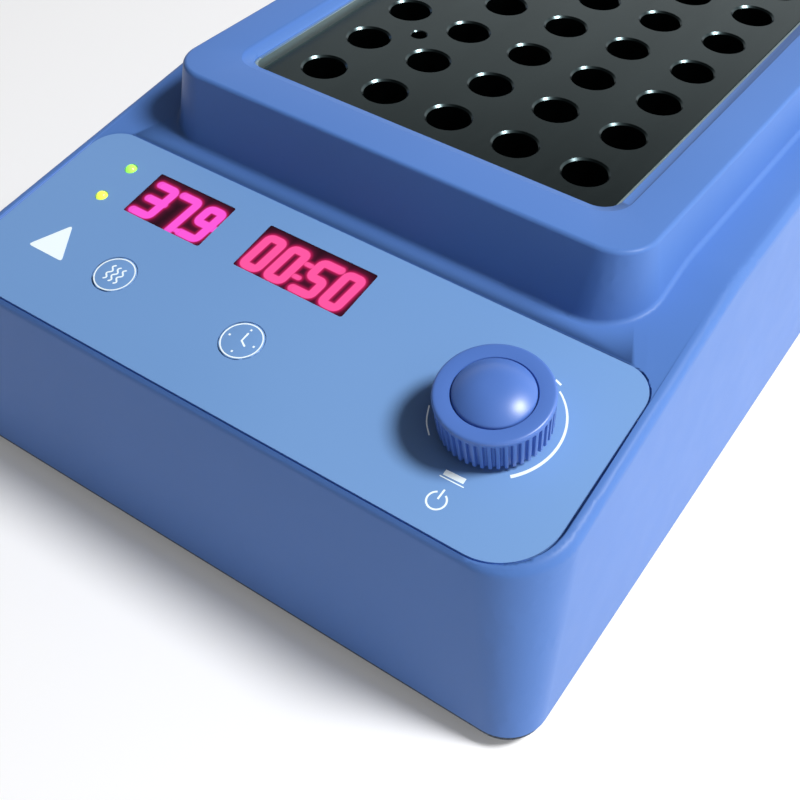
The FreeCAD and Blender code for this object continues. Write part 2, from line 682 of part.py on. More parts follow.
def base_tray():
    """Closing plate with a locating tongue, posts, vents and foot recesses."""
    plate = loft(wall_outline(FOOT_DROP, TRAY_INSET), wall_outline(TRAY_RIM_TOP, TRAY_INSET))
    inside = SHELL + 0.3
    step = loft(wall_outline(TRAY_RIM_TOP, inside), wall_outline(TRAY_TOP, inside))
    tongue_top = TRAY_TOP + TONGUE_H
    tongue_t = 1.6
    tongue_outer = loft(wall_outline(TRAY_TOP, inside), wall_outline(tongue_top, inside))
    tongue_inner = loft(wall_outline(TRAY_TOP, inside + tongue_t), wall_outline(tongue_top, inside + tongue_t))
    tray = plate.fuse([step, tongue_outer.cut(tongue_inner)])
    posts = [cylinder(3.0, POWER_Z - TRAY_TOP, (x, y, TRAY_TOP)) for x, y in POWER_POSTS]
    posts += [cylinder(4.0, 4.0, (x, y, TRAY_TOP)) for x, y in FEET.values()]
    tray = tray.fuse(posts).removeSplitter()
    cuts = []
    for x, y in tray_screw_places():
        cuts.append(cylinder(3.1, SCREW_SEAT + 1, (x, y, FOOT_DROP - 1)))
        cuts.append(cylinder(M3_R + 0.1, 5, (x, y, FOOT_DROP)))
    for x, y in HOUSING_BOSSES:
        for sign in (-1, 1):
            cuts.append(cylinder(4.3, TONGUE_H + 1, (sign * x, y, TRAY_TOP)))
    for x, y in FEET.values():
        cuts.append(cylinder(FOOT_R + 0.1, FOOT_RECESS + 1, (x, y, FOOT_DROP - 1)))
        cuts.append(cylinder(M3_R, 8, (x, y, FOOT_DROP)))
    for x, y in POWER_POSTS:
        cuts.append(cylinder(M3_R, 6, (x, y, POWER_Z - 5)))
    for y in (-72.0, 88.0):
        for k in range(7):
            cuts.append(slab(1.5, 9.0, (0, TRAY_TOP + 1), 1.45, ((k - 3) * 8.0, y)))
    return tray.cut(group(cuts))


def tray_screw(x, y, length):
    """Screw up through the tray; its low head is flush with the tray's underside."""
    screw = pan_screw(length, (x, y, FOOT_DROP + SCREW_SEAT + length), (0, 0, 1))
    return screw.common(block((x - 4, x + 4), (y - 4, y + 4), (FOOT_DROP, HEIGHT)))


def housing_screws():
    return group([tray_screw(sign * x, y, 14.0) for x, y in HOUSING_BOSSES for sign in (-1, 1)])


def pillar_screws():
    return group([tray_screw(x, y, 11.0) for x, y in pillar_places()])


def foot(name):
    """Rubber disc, narrower at the bench, with a sunk screw."""
    x, y = FEET[name]
    low = cone(FOOT_R - 1.2, FOOT_R, FOOT_DROP, (x, y, 0))
    high = cylinder(FOOT_R, FOOT_RECESS, (x, y, FOOT_DROP))
    seat = cylinder(3.0, FOOT_SCREW_SEAT + 1, (x, y, -1))
    hole = cylinder(M3_R + 0.1, FOOT_DROP + FOOT_RECESS + 1, (x, y, 0))
    return union([low, high]).cut(group([seat, hole]))


def foot_screws():
    length = 7.0
    return group([pan_screw(length, (x, y, FOOT_SCREW_SEAT + length), (0, 0, 1)) for x, y in FEET.values()])


def power_board():
    board = block((-POWER_X, POWER_X), POWER_Y, (POWER_Z, POWER_FACE_Z))
    return board.cut(group([cylinder(M3_R + 0.1, 4, (x, y, POWER_Z - 1)) for x, y in POWER_POSTS]))


def power_board_screws():
    length = 6.0
    return group([pan_screw(length, (x, y, POWER_FACE_Z - length), (0, 0, -1)) for x, y in POWER_POSTS])


def above_board(span):
    """A (low, high) span above the power board, as heights above the bench."""
    return (POWER_FACE_Z + span[0], POWER_FACE_Z + span[1])


def transformer():
    """Laminated core round a winding, on a moulded base."""
    x, y = TRANSFORMER
    half_x, half_y = CORE_HALF
    window_x = half_x - CORE_LIMB
    frame = block((x - half_x, x + half_x), (y - half_y, y + half_y), above_board(CORE_Z))
    window = block((x - window_x, x + window_x), (y - half_y - 1, y + half_y + 1), above_board(WINDING_Z))
    base = slab(*WINDING_HALF, above_board((0, WINDING_Z[0] - 0.4)), 1.5, TRANSFORMER)
    winding = slab(*WINDING_HALF, above_board(WINDING_Z), 4.0, TRANSFORMER)
    return group([frame.cut(window), winding, base.cut(frame)])


def triac_heat_sink():
    """Extruded comb: a back plate and upright fins."""
    high = above_board((0, SINK_H))
    end_x = SINK_X + (FINS - 1) * FIN_PITCH + FIN_T
    parts = [block((SINK_X, end_x + 0.2), SINK_BACK_Y, high)]
    for k in range(FINS):
        x = SINK_X + k * FIN_PITCH
        parts.append(block((x, x + FIN_T), (SINK_BACK_Y[0] - FIN_DEPTH, SINK_BACK_Y[0]), high))
    return union(parts)


def triac():
    """Power switch: a moulded body with a metal tab, flat against the heat sink."""
    y = SINK_BACK_Y[1]
    parts = [block(TRIAC_X, (y, y + TRIAC_T), above_board((4, 13))),
             block(TRIAC_X, (y, y + TAB_T), above_board((13, 18)))]
    for k in range(3):
        x = sum(TRIAC_X) / 2 + (k - 1) * LEG_PITCH
        parts.append(block((x - 0.4, x + 0.4), (y + 1.6, y + 2.2), above_board((0, 4))))
    return union(parts)


def smoothing_capacitor():
    can = cylinder(CAPACITOR_R, CAPACITOR_H, (*CAPACITOR, POWER_FACE_Z))
    rims = [edge for edge in can.Edges if edge.BoundBox.ZMin > POWER_FACE_Z + CAPACITOR_H - 0.1]
    return can.makeFillet(0.8, rims)


def terminal_block():
    """Screw terminals; the wires go in from behind and the screws are reached from above."""
    body = block((-TERMINAL_HALF_X, TERMINAL_HALF_X), TERMINAL_Y, above_board((0, TERMINAL_H)))
    middle_y = sum(TERMINAL_Y) / 2
    cuts = [cylinder(1.9, 3, (x, middle_y, POWER_FACE_Z + TERMINAL_H - 2)) for x in TERMINALS]
    cuts += [cylinder(1.4, 6, (x, middle_y - 0.8, LEAD_Z), Vector(0, 1, 0)) for x in TERMINALS]
    return body.cut(group(cuts))


def ribbon_connectors():
    """A header on each board, face to face with the flat cable's ends."""
    half_x, half_y = CONNECTOR_HALF
    low = block((-half_x, half_x), (RIBBON_Y - half_y, RIBBON_Y + half_y), above_board((0, CONNECTOR_H[0])))
    board_back = BOARD_TOP - BOARD_T
    high = slab(half_x, half_y, (board_back - CONNECTOR_H[1], board_back), 0.3, (0, RIBBON_V))
    return group([low, on_panel(high)])


def ribbon_cable():
    """Flat cable in an S between the two boards."""
    low_z = POWER_FACE_Z + CONNECTOR_H[0]
    top = on_panel(Part.Vertex(0, RIBBON_V, BOARD_TOP - BOARD_T - CONNECTOR_H[1])).Point
    bend_z = (low_z + top.z) / 2
    end_z = top.z - 0.6
    half = RIBBON_T / 2
    side = math.copysign(half, top.y - RIBBON_Y)
    section = [(RIBBON_Y - side, low_z), (RIBBON_Y + side, low_z), (RIBBON_Y + side, bend_z - half),
               (top.y + side, bend_z - half), (top.y + side, end_z), (top.y - side, end_z),
               (top.y - side, bend_z + half), (RIBBON_Y - side, bend_z + half)]
    points = [Vector(-RIBBON_HALF, y, z) for y, z in section]
    return Part.Face(outline(points, [0] * len(points))).extrude(Vector(2 * RIBBON_HALF, 0, 0))


def lead(points, radius, bend):
    """Round wire along straight runs joined by tangent arcs."""
    corners = [Vector(*point) for point in points]
    edges = []
    start = corners[0]
    for before, corner, after in zip(corners, corners[1:], corners[2:]):
        back = (before - corner).normalize()
        ahead = (after - corner).normalize()
        half_angle = back.getAngle(ahead) / 2
        reach = bend / math.tan(half_angle)
        middle = corner + (back + ahead).normalize() * (bend / math.sin(half_angle) - bend)
        edges.append(Part.LineSegment(start, corner + back * reach).toShape())
        edges.append(Part.Arc(corner + back * reach, middle, corner + ahead * reach).toShape())
        start = corner + ahead * reach
    edges.append(Part.LineSegment(start, corners[-1]).toShape())
    direction = (corners[1] - corners[0]).normalize()
    section = Part.Wire(Part.makeCircle(radius, corners[0], direction))
    return Part.Wire(edges).makePipeShell([section], True, True)


def mains_leads():
    """From the inlet's tabs, forward along the floor of the housing, to the terminal block."""
    entry_y = TERMINAL_Y[1] - 0.6
    floor_z = 11.0
    rise_y = -68.0
    tab_y = INLET_FLOOR_Y - INLET_BODY[2] - TAB_LENGTH
    leads = []
    for x, pin_z in PINS:
        path = [(x, tab_y, pin_z), (x, tab_y - 10, pin_z), (x, tab_y - 10, floor_z),
                (x, rise_y, floor_z), (x, rise_y, LEAD_Z), (x, entry_y, LEAD_Z)]
        leads.append(lead(path, 1.3, 3.0))
    return group(leads)


def heater_leads():
    """From the film's front edge to the terminal block's outer screws."""
    entry_y = TERMINAL_Y[1] - 0.6
    film_z = PAD_TOP_Z + FILM_T / 2
    start_y = BLOCK_CY - FILM_Y
    leads = []
    for x in (TERMINALS[0], TERMINALS[-1]):
        path = [(x, start_y, film_z), (x, start_y - 6, film_z), (x, start_y - 6, LEAD_Z), (x, entry_y, LEAD_Z)]
        leads.append(lead(path, 0.65, 2.0))
    return group(leads)


def inlet_body():
    """Mains inlet with a fuse drawer below the socket."""
    wide, high = INLET_FLANGE[:2]
    flange_z = (INLET_Z - high / 2, INLET_Z + high / 2)
    flange = block((-wide / 2, wide / 2), (INLET_FLOOR_Y, INLET_FACE_Y), flange_z)
    upright = [edge for edge in flange.Edges if edge.BoundBox.XLength < 1e-6 and edge.BoundBox.ZLength < 1e-6]
    flange = flange.makeFillet(3.0, upright)
    rear = block((-INLET_BODY[0] / 2, INLET_BODY[0] / 2), (INLET_FLOOR_Y - INLET_BODY[2], INLET_FLOOR_Y),
                 (INLET_Z - INLET_BODY[1] / 2, INLET_Z + INLET_BODY[1] / 2))
    body = flange.fuse(rear).removeSplitter()
    cuts = [socket_space(), drawer_space(0.3)]
    for sign in (-1, 1):
        x = sign * INLET_SCREW_X
        cuts.append(cylinder(M3_R + 0.1, 6, (x, INLET_FLOOR_Y - 1, INLET_Z), Vector(0, 1, 0)))
        cuts.append(cone(M3_R, M3_R + 1.6, 1.6, (x, INLET_FACE_Y - 1.6, INLET_Z), Vector(0, 1, 0)))
    cuts += [pin_blade(x, z) for x, z in PINS]
    return body.cut(group(cuts))


def socket_space():
    """The socket's opening, with its two upper corners cut off."""
    wide, high, deep = SOCKET
    corner = 4.0
    half_x = wide / 2
    low_z = SOCKET_Z - high / 2
    top_z = SOCKET_Z + high / 2
    section = [(-half_x, low_z), (half_x, low_z), (half_x, top_z - corner), (half_x - corner, top_z),
               (corner - half_x, top_z), (-half_x, top_z - corner)]
    points = [Vector(x, INLET_FACE_Y - deep, z) for x, z in section]
    return Part.Face(outline(points, [1.0] * 6)).extrude(Vector(0, deep + 1, 0))


def drawer_space(gap):
    wide, high, deep = DRAWER
    return block((-wide / 2 - gap, wide / 2 + gap), (INLET_FACE_Y - deep - gap, INLET_FACE_Y + 1),
                 (DRAWER_Z - high / 2 - gap, DRAWER_Z + high / 2 + gap))


def pin_blade(x, z):
    back = INLET_FLOOR_Y - INLET_BODY[2] - TAB_LENGTH
    return block((x - 1, x + 1), (back, INLET_FACE_Y - 3.5), (z - 2, z + 2))


def inlet_pins():
    return group([pin_blade(x, z) for x, z in PINS])


def inlet_screws():
    screws = []
    for sign in (-1, 1):
        x = sign * INLET_SCREW_X
        shank = cylinder(M3_R, 10, (x, INLET_FACE_Y - 11.6, INLET_Z), Vector(0, 1, 0))
        head = cone(M3_R, M3_R + 1.5, 1.5, (x, INLET_FACE_Y - 1.6, INLET_Z), Vector(0, 1, 0))
        slot = block((x - 2, x + 2), (INLET_FACE_Y - 0.8, INLET_FACE_Y + 1), (INLET_Z - 0.35, INLET_Z + 0.35))
        screws.append(union([shank, head]).cut(slot))
    return group(screws)


def fuse_drawer():
    """Slides straight out; holds the working fuse and a spare."""
    wide, high, deep = DRAWER
    z = (DRAWER_Z - high / 2, DRAWER_Z + high / 2)
    trough_r = FUSE_R + 0.1
    trough_start = INLET_FACE_Y - deep + 0.8
    trough_end = trough_start + 20.2
    body = block((-wide / 2, wide / 2), (INLET_FACE_Y - deep, INLET_FACE_Y), z)
    cuts = []
    for x in (-FUSE_X, FUSE_X):
        round_low = cylinder(trough_r, trough_end - trough_start, (x, trough_start, DRAWER_Z), Vector(0, 1, 0))
        open_top = block((x - trough_r, x + trough_r), (trough_start, trough_end), (DRAWER_Z, z[1] + 1))
        cuts += [round_low, open_top]
    finger_lip = block((-4, 4), (INLET_FACE_Y - 0.9, INLET_FACE_Y + 1), (DRAWER_Z + 1.8, z[1] + 1))
    return body.cut(group(cuts + [finger_lip]))


def fuses():
    """Glass tube fuses, each with two metal end caps."""
    parts = []
    for x in (-FUSE_X, FUSE_X):
        y = INLET_FACE_Y - DRAWER[2] + 0.9
        tube = cylinder(FUSE_R - 0.2, 10, (x, y + 5, DRAWER_Z), Vector(0, 1, 0))
        caps = [cylinder(FUSE_R, 5, (x, y + k, DRAWER_Z), Vector(0, 1, 0)) for k in (0, 15)]
        parts += [tube] + caps
    return group(parts)


def save(name, shape):
    shape.exportStep("parts/" + name + ".step")


def build():
    os.makedirs("parts", exist_ok=True)
    save("upper_housing", upper_housing())
    save("panel_overlay", panel_overlay())
    for name in ("temperature", "timer"):
        save(name + "_window", display_window(name))
        save(name + "_display", display_module(name))
    for name in ("heat", "timer"):
        save(name + "_indicator", indicator_lamp(name))
        save(name + "_key", key_cap(name))
        save(name + "_switch_body", switch_body(name))
        save(name + "_switch_plunger", switch_plunger(name))
    for name in FEET:
        save("foot_" + name, foot(name))
    makers = [indicator_spacers, display_board, display_board_screws, encoder_body, encoder_bush,
              encoder_nut, encoder_washer, push_plunger, knob_shaft, knob_grip, knob_cap, heat_block,
              block_well, well_screws, heater_plate, temperature_sensor, heater_film, insulation_pad,
              thermal_cutout, insulation_jacket, support_pillars, base_tray, housing_screws,
              pillar_screws, foot_screws, power_board, power_board_screws, transformer, triac_heat_sink,
              triac, smoothing_capacitor, terminal_block, ribbon_connectors, ribbon_cable, mains_leads,
              heater_leads, inlet_body, inlet_pins, inlet_screws, fuse_drawer, fuses]
    for maker in makers:
        save(maker.__name__, maker())


build()
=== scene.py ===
import json
import math

import bmesh
import bpy
import numpy as np
from mathutils import Matrix, Vector

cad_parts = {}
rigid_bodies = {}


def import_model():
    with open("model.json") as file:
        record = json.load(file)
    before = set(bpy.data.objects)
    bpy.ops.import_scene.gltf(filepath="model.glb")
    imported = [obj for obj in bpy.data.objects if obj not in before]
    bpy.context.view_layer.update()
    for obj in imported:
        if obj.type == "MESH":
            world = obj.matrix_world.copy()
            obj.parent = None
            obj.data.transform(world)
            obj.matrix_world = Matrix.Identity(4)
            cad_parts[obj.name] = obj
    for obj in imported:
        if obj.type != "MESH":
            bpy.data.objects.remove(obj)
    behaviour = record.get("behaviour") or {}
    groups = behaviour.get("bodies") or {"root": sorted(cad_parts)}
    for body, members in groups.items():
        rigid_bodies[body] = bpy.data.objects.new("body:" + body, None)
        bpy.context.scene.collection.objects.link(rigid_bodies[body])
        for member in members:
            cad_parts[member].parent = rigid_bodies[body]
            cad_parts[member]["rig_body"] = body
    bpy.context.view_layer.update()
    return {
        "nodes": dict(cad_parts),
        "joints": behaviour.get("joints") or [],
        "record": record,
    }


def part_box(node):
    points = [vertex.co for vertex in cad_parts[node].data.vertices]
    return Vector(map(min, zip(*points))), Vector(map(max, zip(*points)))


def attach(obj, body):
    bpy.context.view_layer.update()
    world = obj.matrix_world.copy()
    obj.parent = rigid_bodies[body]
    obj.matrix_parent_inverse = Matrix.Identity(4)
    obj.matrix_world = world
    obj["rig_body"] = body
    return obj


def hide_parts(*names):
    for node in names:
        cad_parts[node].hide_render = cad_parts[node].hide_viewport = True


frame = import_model()

# ---- Camera ----
# It stands in front of the heater, to the right, and looks down over the panel on to the front of
# the block. The lens is a little longer than normal, and the view is shifted to sit on the panel.

CAMERA_PLACE = (0.13957, -0.27174, 0.24441)
CAMERA_LOOKS = (-0.36365, 0.59811, -0.71416)
CAMERA_UP = (-0.42463, 0.57593, 0.69856)
CAMERA_LENS = 55.65
CAMERA_SENSOR = 36.0
CAMERA_SHIFT = (-0.0547, 0.0243)
NEAREST_SEEN = 0.01


def add_camera():
    lens = bpy.data.cameras.new("camera")
    lens.lens = CAMERA_LENS
    lens.sensor_width = CAMERA_SENSOR
    lens.shift_x, lens.shift_y = CAMERA_SHIFT
    lens.clip_start = NEAREST_SEEN
    camera = bpy.data.objects.new("camera", lens)
    bpy.context.scene.collection.objects.link(camera)
    looks = Vector(CAMERA_LOOKS).normalized()
    right = looks.cross(Vector(CAMERA_UP)).normalized()
    turn = Matrix((right, right.cross(looks), -looks)).transposed().to_4x4()
    camera.matrix_world = Matrix.Translation(CAMERA_PLACE) @ turn
    bpy.context.scene.camera = camera


add_camera()

# ---- Studio ----
# A pale seamless floor under one soft box, high on the right, so that shadows fall to the left. The
# room is white on the right, dark in front, and has a white backdrop, which the tube block mirrors.

FLOOR_SIDE = 6.0
FLOOR_TONE = (0.86, 0.86, 0.87, 1.0)
FLOOR_ROUGHNESS = 0.9
FLOOR_GLOW = 0.15
KEY_DIRECTION = (0.56, 0.08, 0.82)
KEY_DISTANCE = 1.1
KEY_SIZE = 0.3
KEY_POWER = 12.9
ROOM_LIGHT = 0.08
ROOM_RIGHT = 0.5
ROOM_FRONT = 0.08
BACKDROP = 0.95
BACKDROP_TOP = (0.45, 0.57)        # where the backdrop fades out, as the sine of its height
WHITE = (1.0, 1.0, 1.0, 1.0)


def link_object(name, data):
    piece = bpy.data.objects.new(name, data)
    bpy.context.scene.collection.objects.link(piece)
    return piece


def node_sum(tree, operation, *values):
    """One sum in a node tree. Each value is a number or another node's output."""
    node = tree.nodes.new("ShaderNodeMath")
    node.operation = operation
    for socket, value in zip(node.inputs, values):
        if isinstance(value, (int, float)):
            socket.default_value = value
        else:
            tree.links.new(value, socket)
    return node.outputs[0]


def add_floor():
    half = FLOOR_SIDE / 2
    corners = [(-half, -half, 0), (half, -half, 0), (half, half, 0), (-half, half, 0)]
    mesh = bpy.data.meshes.new("floor")
    mesh.from_pydata(corners, [], [(0, 1, 2, 3)])
    floor = link_object("floor", mesh)
    paper = bpy.data.materials.new("floor_paper")
    paper.use_nodes = True
    shader = paper.node_tree.nodes["Principled BSDF"]
    shader.inputs["Base Color"].default_value = FLOOR_TONE
    shader.inputs["Roughness"].default_value = FLOOR_ROUGHNESS
    shader.inputs["Emission Color"].default_value = WHITE
    shader.inputs["Emission Strength"].default_value = FLOOR_GLOW
    mesh.materials.append(paper)


def add_room():
    """A room with level light, more from the right and less from the front, and a backdrop."""
    world = bpy.data.worlds.new("room")
    world.use_nodes = True
    tree = world.node_tree
    place = tree.nodes.new("ShaderNodeTexCoord")
    parts = tree.nodes.new("ShaderNodeSeparateXYZ")
    tree.links.new(place.outputs["Generated"], parts.inputs[0])
    right = node_sum(tree, "MAXIMUM", parts.outputs["X"], 0.0)
    right = node_sum(tree, "MULTIPLY", right, ROOM_RIGHT)
    front = node_sum(tree, "MINIMUM", parts.outputs["Y"], 0.0)
    front = node_sum(tree, "MULTIPLY", front, ROOM_FRONT)
    backdrop = tree.nodes.new("ShaderNodeMapRange")
    backdrop.interpolation_type = "SMOOTHSTEP"
    low, high = BACKDROP_TOP
    limits = {"From Min": low, "From Max": high, "To Min": BACKDROP, "To Max": 0.0}
    for socket, value in limits.items():
        backdrop.inputs[socket].default_value = value
    tree.links.new(parts.outputs["Z"], backdrop.inputs["Value"])
    behind = node_sum(tree, "MAXIMUM", parts.outputs["Y"], 0.0)
    behind = node_sum(tree, "MULTIPLY", behind, backdrop.outputs["Result"])
    sides = node_sum(tree, "ADD", right, front)
    level = node_sum(tree, "ADD", sides, node_sum(tree, "ADD", behind, ROOM_LIGHT))
    tree.links.new(level, tree.nodes["Background"].inputs["Strength"])
    tree.nodes["Background"].inputs["Color"].default_value = WHITE
    bpy.context.scene.world = world


def add_key_light():
    soft_box = bpy.data.lights.new("soft_box", "AREA")
    soft_box.shape = "DISK"
    soft_box.size = KEY_SIZE
    soft_box.energy = KEY_POWER
    lamp = link_object("soft_box", soft_box)
    towards = Vector(KEY_DIRECTION).normalized()
    turn = towards.to_track_quat("Z", "Y").to_matrix().to_4x4()
    lamp.matrix_world = Matrix.Translation(towards * KEY_DISTANCE) @ turn


add_floor()
add_room()
add_key_light()
bpy.context.scene.view_settings.view_transform = "Standard"

# ---- Housing ----
# One blue moulding in a tough plastic, with a sloping deck, a raised collar and a step round the
# well. Its walls lean in as the mould needs. It is the CAD shell with its faces joined, in a satin
# blue with a fine texture.

HOUSING_TONES = ((81, 121, 189), (86, 126, 195))
CREASE = math.radians(28)
FLAT_FACE_WEIGHT = 60              # how far wide faces keep their edges shading flat, 1 to 100
SAME_POINT = 1e-6
TONE_SPREAD = (0.3, 0.7)           # where in the drift's range the darker and the lighter tone lie
GLOSS_DRIFT = 9                    # spots of uneven gloss for each drift of colour
GLOSS_DETAIL = 4.0
GRAIN_STRENGTH = 0.5


def colour(red, green, blue):
    """A colour given in 0 to 255, as light."""
    levels = [value / 255 for value in (red, green, blue)]
    light = [v / 12.92 if v <= 0.04045 else ((v + 0.055) / 1.055) ** 2.4 for v in levels]
    return light + [1.0]


def noise(tree, source, scale, detail=2.0):
    """A cloudy pattern of 0 to 1, with scale spots to the metre."""
    node = tree.nodes.new("ShaderNodeTexNoise")
    node.inputs["Scale"].default_value = scale
    node.inputs["Detail"].default_value = detail
    tree.links.new(source, node.inputs["Vector"])
    return node.outputs["Fac"]


def ramp(tree, source, stops):
    """Turns a number into a colour through (place, colour) stops."""
    node = tree.nodes.new("ShaderNodeValToRGB")
    marks = node.color_ramp.elements
    while len(marks) < len(stops):
        marks.new(1.0)
    for mark, (place, tone) in zip(marks, stops):
        mark.position = place
        mark.color = tone
    tree.links.new(source, node.inputs["Fac"])
    return node.outputs["Color"]


def finish(name, tones, gloss, drift=18.0, grain=1800.0, relief=0.00001, stretch=(1, 1, 1),
           sockets=None):
    """A material whose colour drifts between two tones, with an uneven gloss and a fine grain.

    gloss is the least and most roughness. drift and grain are counts per metre, relief is the
    height of the grain in metres, stretch scales the pattern along each axis, and sockets are
    values for the shader's own sockets.
    """
    material = bpy.data.materials.new(name)
    material.use_nodes = True
    tree = material.node_tree
    shader = tree.nodes["Principled BSDF"]
    place = tree.nodes.new("ShaderNodeTexCoord")
    mapping = tree.nodes.new("ShaderNodeMapping")
    mapping.inputs["Scale"].default_value = stretch
    tree.links.new(place.outputs["Object"], mapping.inputs["Vector"])
    pattern = mapping.outputs["Vector"]
    low, high = [colour(*tone) for tone in tones]
    shade = ramp(tree, noise(tree, pattern, drift), list(zip(TONE_SPREAD, (low, high))))
    tree.links.new(shade, shader.inputs["Base Color"])
    spread = tree.nodes.new("ShaderNodeMapRange")
    spread.inputs["To Min"].default_value, spread.inputs["To Max"].default_value = gloss
    uneven = noise(tree, pattern, drift * GLOSS_DRIFT, GLOSS_DETAIL)
    tree.links.new(uneven, spread.inputs["Value"])
    tree.links.new(spread.outputs["Result"], shader.inputs["Roughness"])
    bump = tree.nodes.new("ShaderNodeBump")
    bump.inputs["Strength"].default_value = GRAIN_STRENGTH
    bump.inputs["Distance"].default_value = relief
    tree.links.new(noise(tree, pattern, grain), bump.inputs["Height"])
    tree.links.new(bump.outputs["Normal"], shader.inputs["Normal"])
    for socket, value in (sockets or {}).items():
        shader.inputs[socket].default_value = value
    return material


def settled(piece):
    """The piece as a plain mesh object, with its modifiers worked in and taken off."""
    bpy.context.view_layer.update()
    graph = bpy.context.evaluated_depsgraph_get()
    mesh = bpy.data.meshes.new_from_object(piece.evaluated_get(graph), depsgraph=graph)
    name = piece.name
    bpy.data.objects.remove(piece)
    mesh.name = name
    return link_object(name, mesh)


def shade_curves(piece, crease=CREASE):
    """Curved faces shade smoothly, flat ones flat, and edges sharper than the crease stay sharp."""
    piece.data.shade_smooth()
    piece.data.set_sharp_from_angle(angle=crease)
    weighted = piece.modifiers.new("flat_faces", "WEIGHTED_NORMAL")
    weighted.keep_sharp = True
    weighted.mode = "FACE_AREA_WITH_ANGLE"
    weighted.weight = FLAT_FACE_WEIGHT
    return settled(piece)


def body_of(node):
    return frame["nodes"][node]["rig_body"]


def place_piece(piece, node):
    """The piece stands for a CAD node: it moves with it, and the node is hidden."""
    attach(piece, body_of(node))
    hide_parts(node)
    return piece


def moulding(node, name, material, crease=CREASE):
    """A CAD node's own shape with its faces joined, so that round edges catch the light evenly."""
    mesh = frame["nodes"][node].data.copy()
    joined = bmesh.new()
    joined.from_mesh(mesh)
    bmesh.ops.remove_doubles(joined, verts=joined.verts, dist=SAME_POINT)
    joined.to_mesh(mesh)
    joined.free()
    mesh.materials.clear()
    mesh.materials.append(material)
    return place_piece(shade_curves(link_object(name, mesh), crease), node)


housing_plastic = finish("housing_plastic", HOUSING_TONES, gloss=(0.36, 0.44), drift=14.0,
                         grain=2600.0, relief=0.000012, sockets={"Specular IOR Level": 0.18})
moulding("upper_housing", "housing_shell", housing_plastic)

# ---- Base tray and feet ----
# A moulded grey tray closes the housing from below, and its rim shows as a thin line under the
# seam. Four black rubber feet stand under its corners, each held by a sunk screw.

tray_plastic = finish("tray_plastic", ((46, 58, 74), (52, 64, 80)), gloss=(0.5, 0.62),
                      relief=0.00002)
foot_rubber = finish("foot_rubber", ((18, 19, 21), (28, 29, 31)), gloss=(0.72, 0.85), drift=60.0,
                     relief=0.00003)
moulding("base_tray", "tray_shell", tray_plastic)
for foot in ("foot_front_left", "foot_front_right", "foot_rear_left", "foot_rear_right"):
    moulding(foot, foot + "_rubber", foot_rubber)

# ---- Panel sheet ----
# A light blue printed sheet lies in a shallow recess of the sloping deck, with holes for the
# displays, the lamps and the keys. All marks on it are printed in white, with a faint painted glow.

MM = 0.001
KNOB_U, KNOB_V = 55.4, 33.1        # where the knob stands, from the middle of the deck's front edge
PRINT_LIFT = 0.03                  # how far the ink stands on the sheet
PRINT_WIDTH = 0.42                 # most of the lines
ROUND_END = (85, 65, 45, 22)       # steps in degrees round a line's round end
CAUTION_ROUND = 1.1

knob_turn = next(joint for joint in frame["joints"] if joint["name"] == "knob_turn")
PANEL_OUT = Vector(knob_turn["axis"]).normalized()
PANEL_RIGHT = Vector((1, 0, 0))
PANEL_UP = PANEL_OUT.cross(PANEL_RIGHT)
PANEL_ORIGIN = Vector(knob_turn["pos_m"]) - (PANEL_RIGHT * KNOB_U + PANEL_UP * KNOB_V) * MM
PANEL_TURN = Matrix((PANEL_RIGHT, PANEL_UP, PANEL_OUT)).transposed().to_4x4()
ON_PANEL = Matrix.Translation(PANEL_ORIGIN) @ PANEL_TURN


def panel_height(node):
    """How far a CAD node stands out of the panel's plane, in millimetres."""
    mesh = frame["nodes"][node].data
    return max((vertex.co - PANEL_ORIGIN).dot(PANEL_OUT) for vertex in mesh.vertices) / MM


def start_tree(name, sizes):
    """A geometry tree: a shape, a material and the named sizes go in, and a shape comes out."""
    tree = bpy.data.node_groups.new(name, "GeometryNodeTree")
    tree.interface.new_socket("Geometry", in_out="OUTPUT", socket_type="NodeSocketGeometry")
    for size, kind in {"Geometry": "Geometry", "Material": "Material", **sizes}.items():
        tree.interface.new_socket(size, in_out="INPUT", socket_type="NodeSocket" + kind)
    return tree, tree.nodes.new("NodeGroupInput").outputs


def end_tree(tree, given, result):
    """Closes a tree with real geometry and its material."""
    real = tree.nodes.new("GeometryNodeRealizeInstances")
    painted = tree.nodes.new("GeometryNodeSetMaterial")
    out = tree.nodes.new("NodeGroupOutput")
    tree.links.new(result, real.inputs["Geometry"])
    tree.links.new(real.outputs["Geometry"], painted.inputs["Geometry"])
    tree.links.new(given["Material"], painted.inputs["Material"])
    tree.links.new(painted.outputs["Geometry"], out.inputs["Geometry"])
    return tree


def grown(name, blank, tree, values):
    """Runs a tree on a blank with the given inputs and returns the plain mesh object."""
    piece = link_object(name, blank)
    modifier = piece.modifiers.new(tree.name, "NODES")
    modifier.node_group = tree
    for item in tree.interface.items_tree:
        if item.in_out == "INPUT" and item.name in values:
            modifier[item.identifier] = values[item.name]
    return settled(piece)


def printed_line_tree():
    """Sweeps a flat bar along a curve. The curve's radius at a point is the line's width there."""
    tree, given = start_tree("printed_line", {"Thinness": "Float"})
    upright = tree.nodes.new("GeometryNodeSetCurveNormal")
    upright.mode = "Z_UP"
    bar = tree.nodes.new("GeometryNodeCurvePrimitiveQuadrilateral")
    bar.inputs["Width"].default_value = 1.0
    swept = tree.nodes.new("GeometryNodeCurveToMesh")
    swept.inputs["Fill Caps"].default_value = True
    width = tree.nodes.new("GeometryNodeInputRadius")
    tree.links.new(width.outputs["Radius"], swept.inputs["Scale"])
    tree.links.new(given["Geometry"], upright.inputs["Curve"])
    tree.links.new(upright.outputs["Curve"], swept.inputs["Curve"])
    tree.links.new(given["Thinness"], bar.inputs["Height"])
    tree.links.new(bar.outputs["Curve"], swept.inputs["Profile Curve"])
    return end_tree(tree, given, swept.outputs["Mesh"])


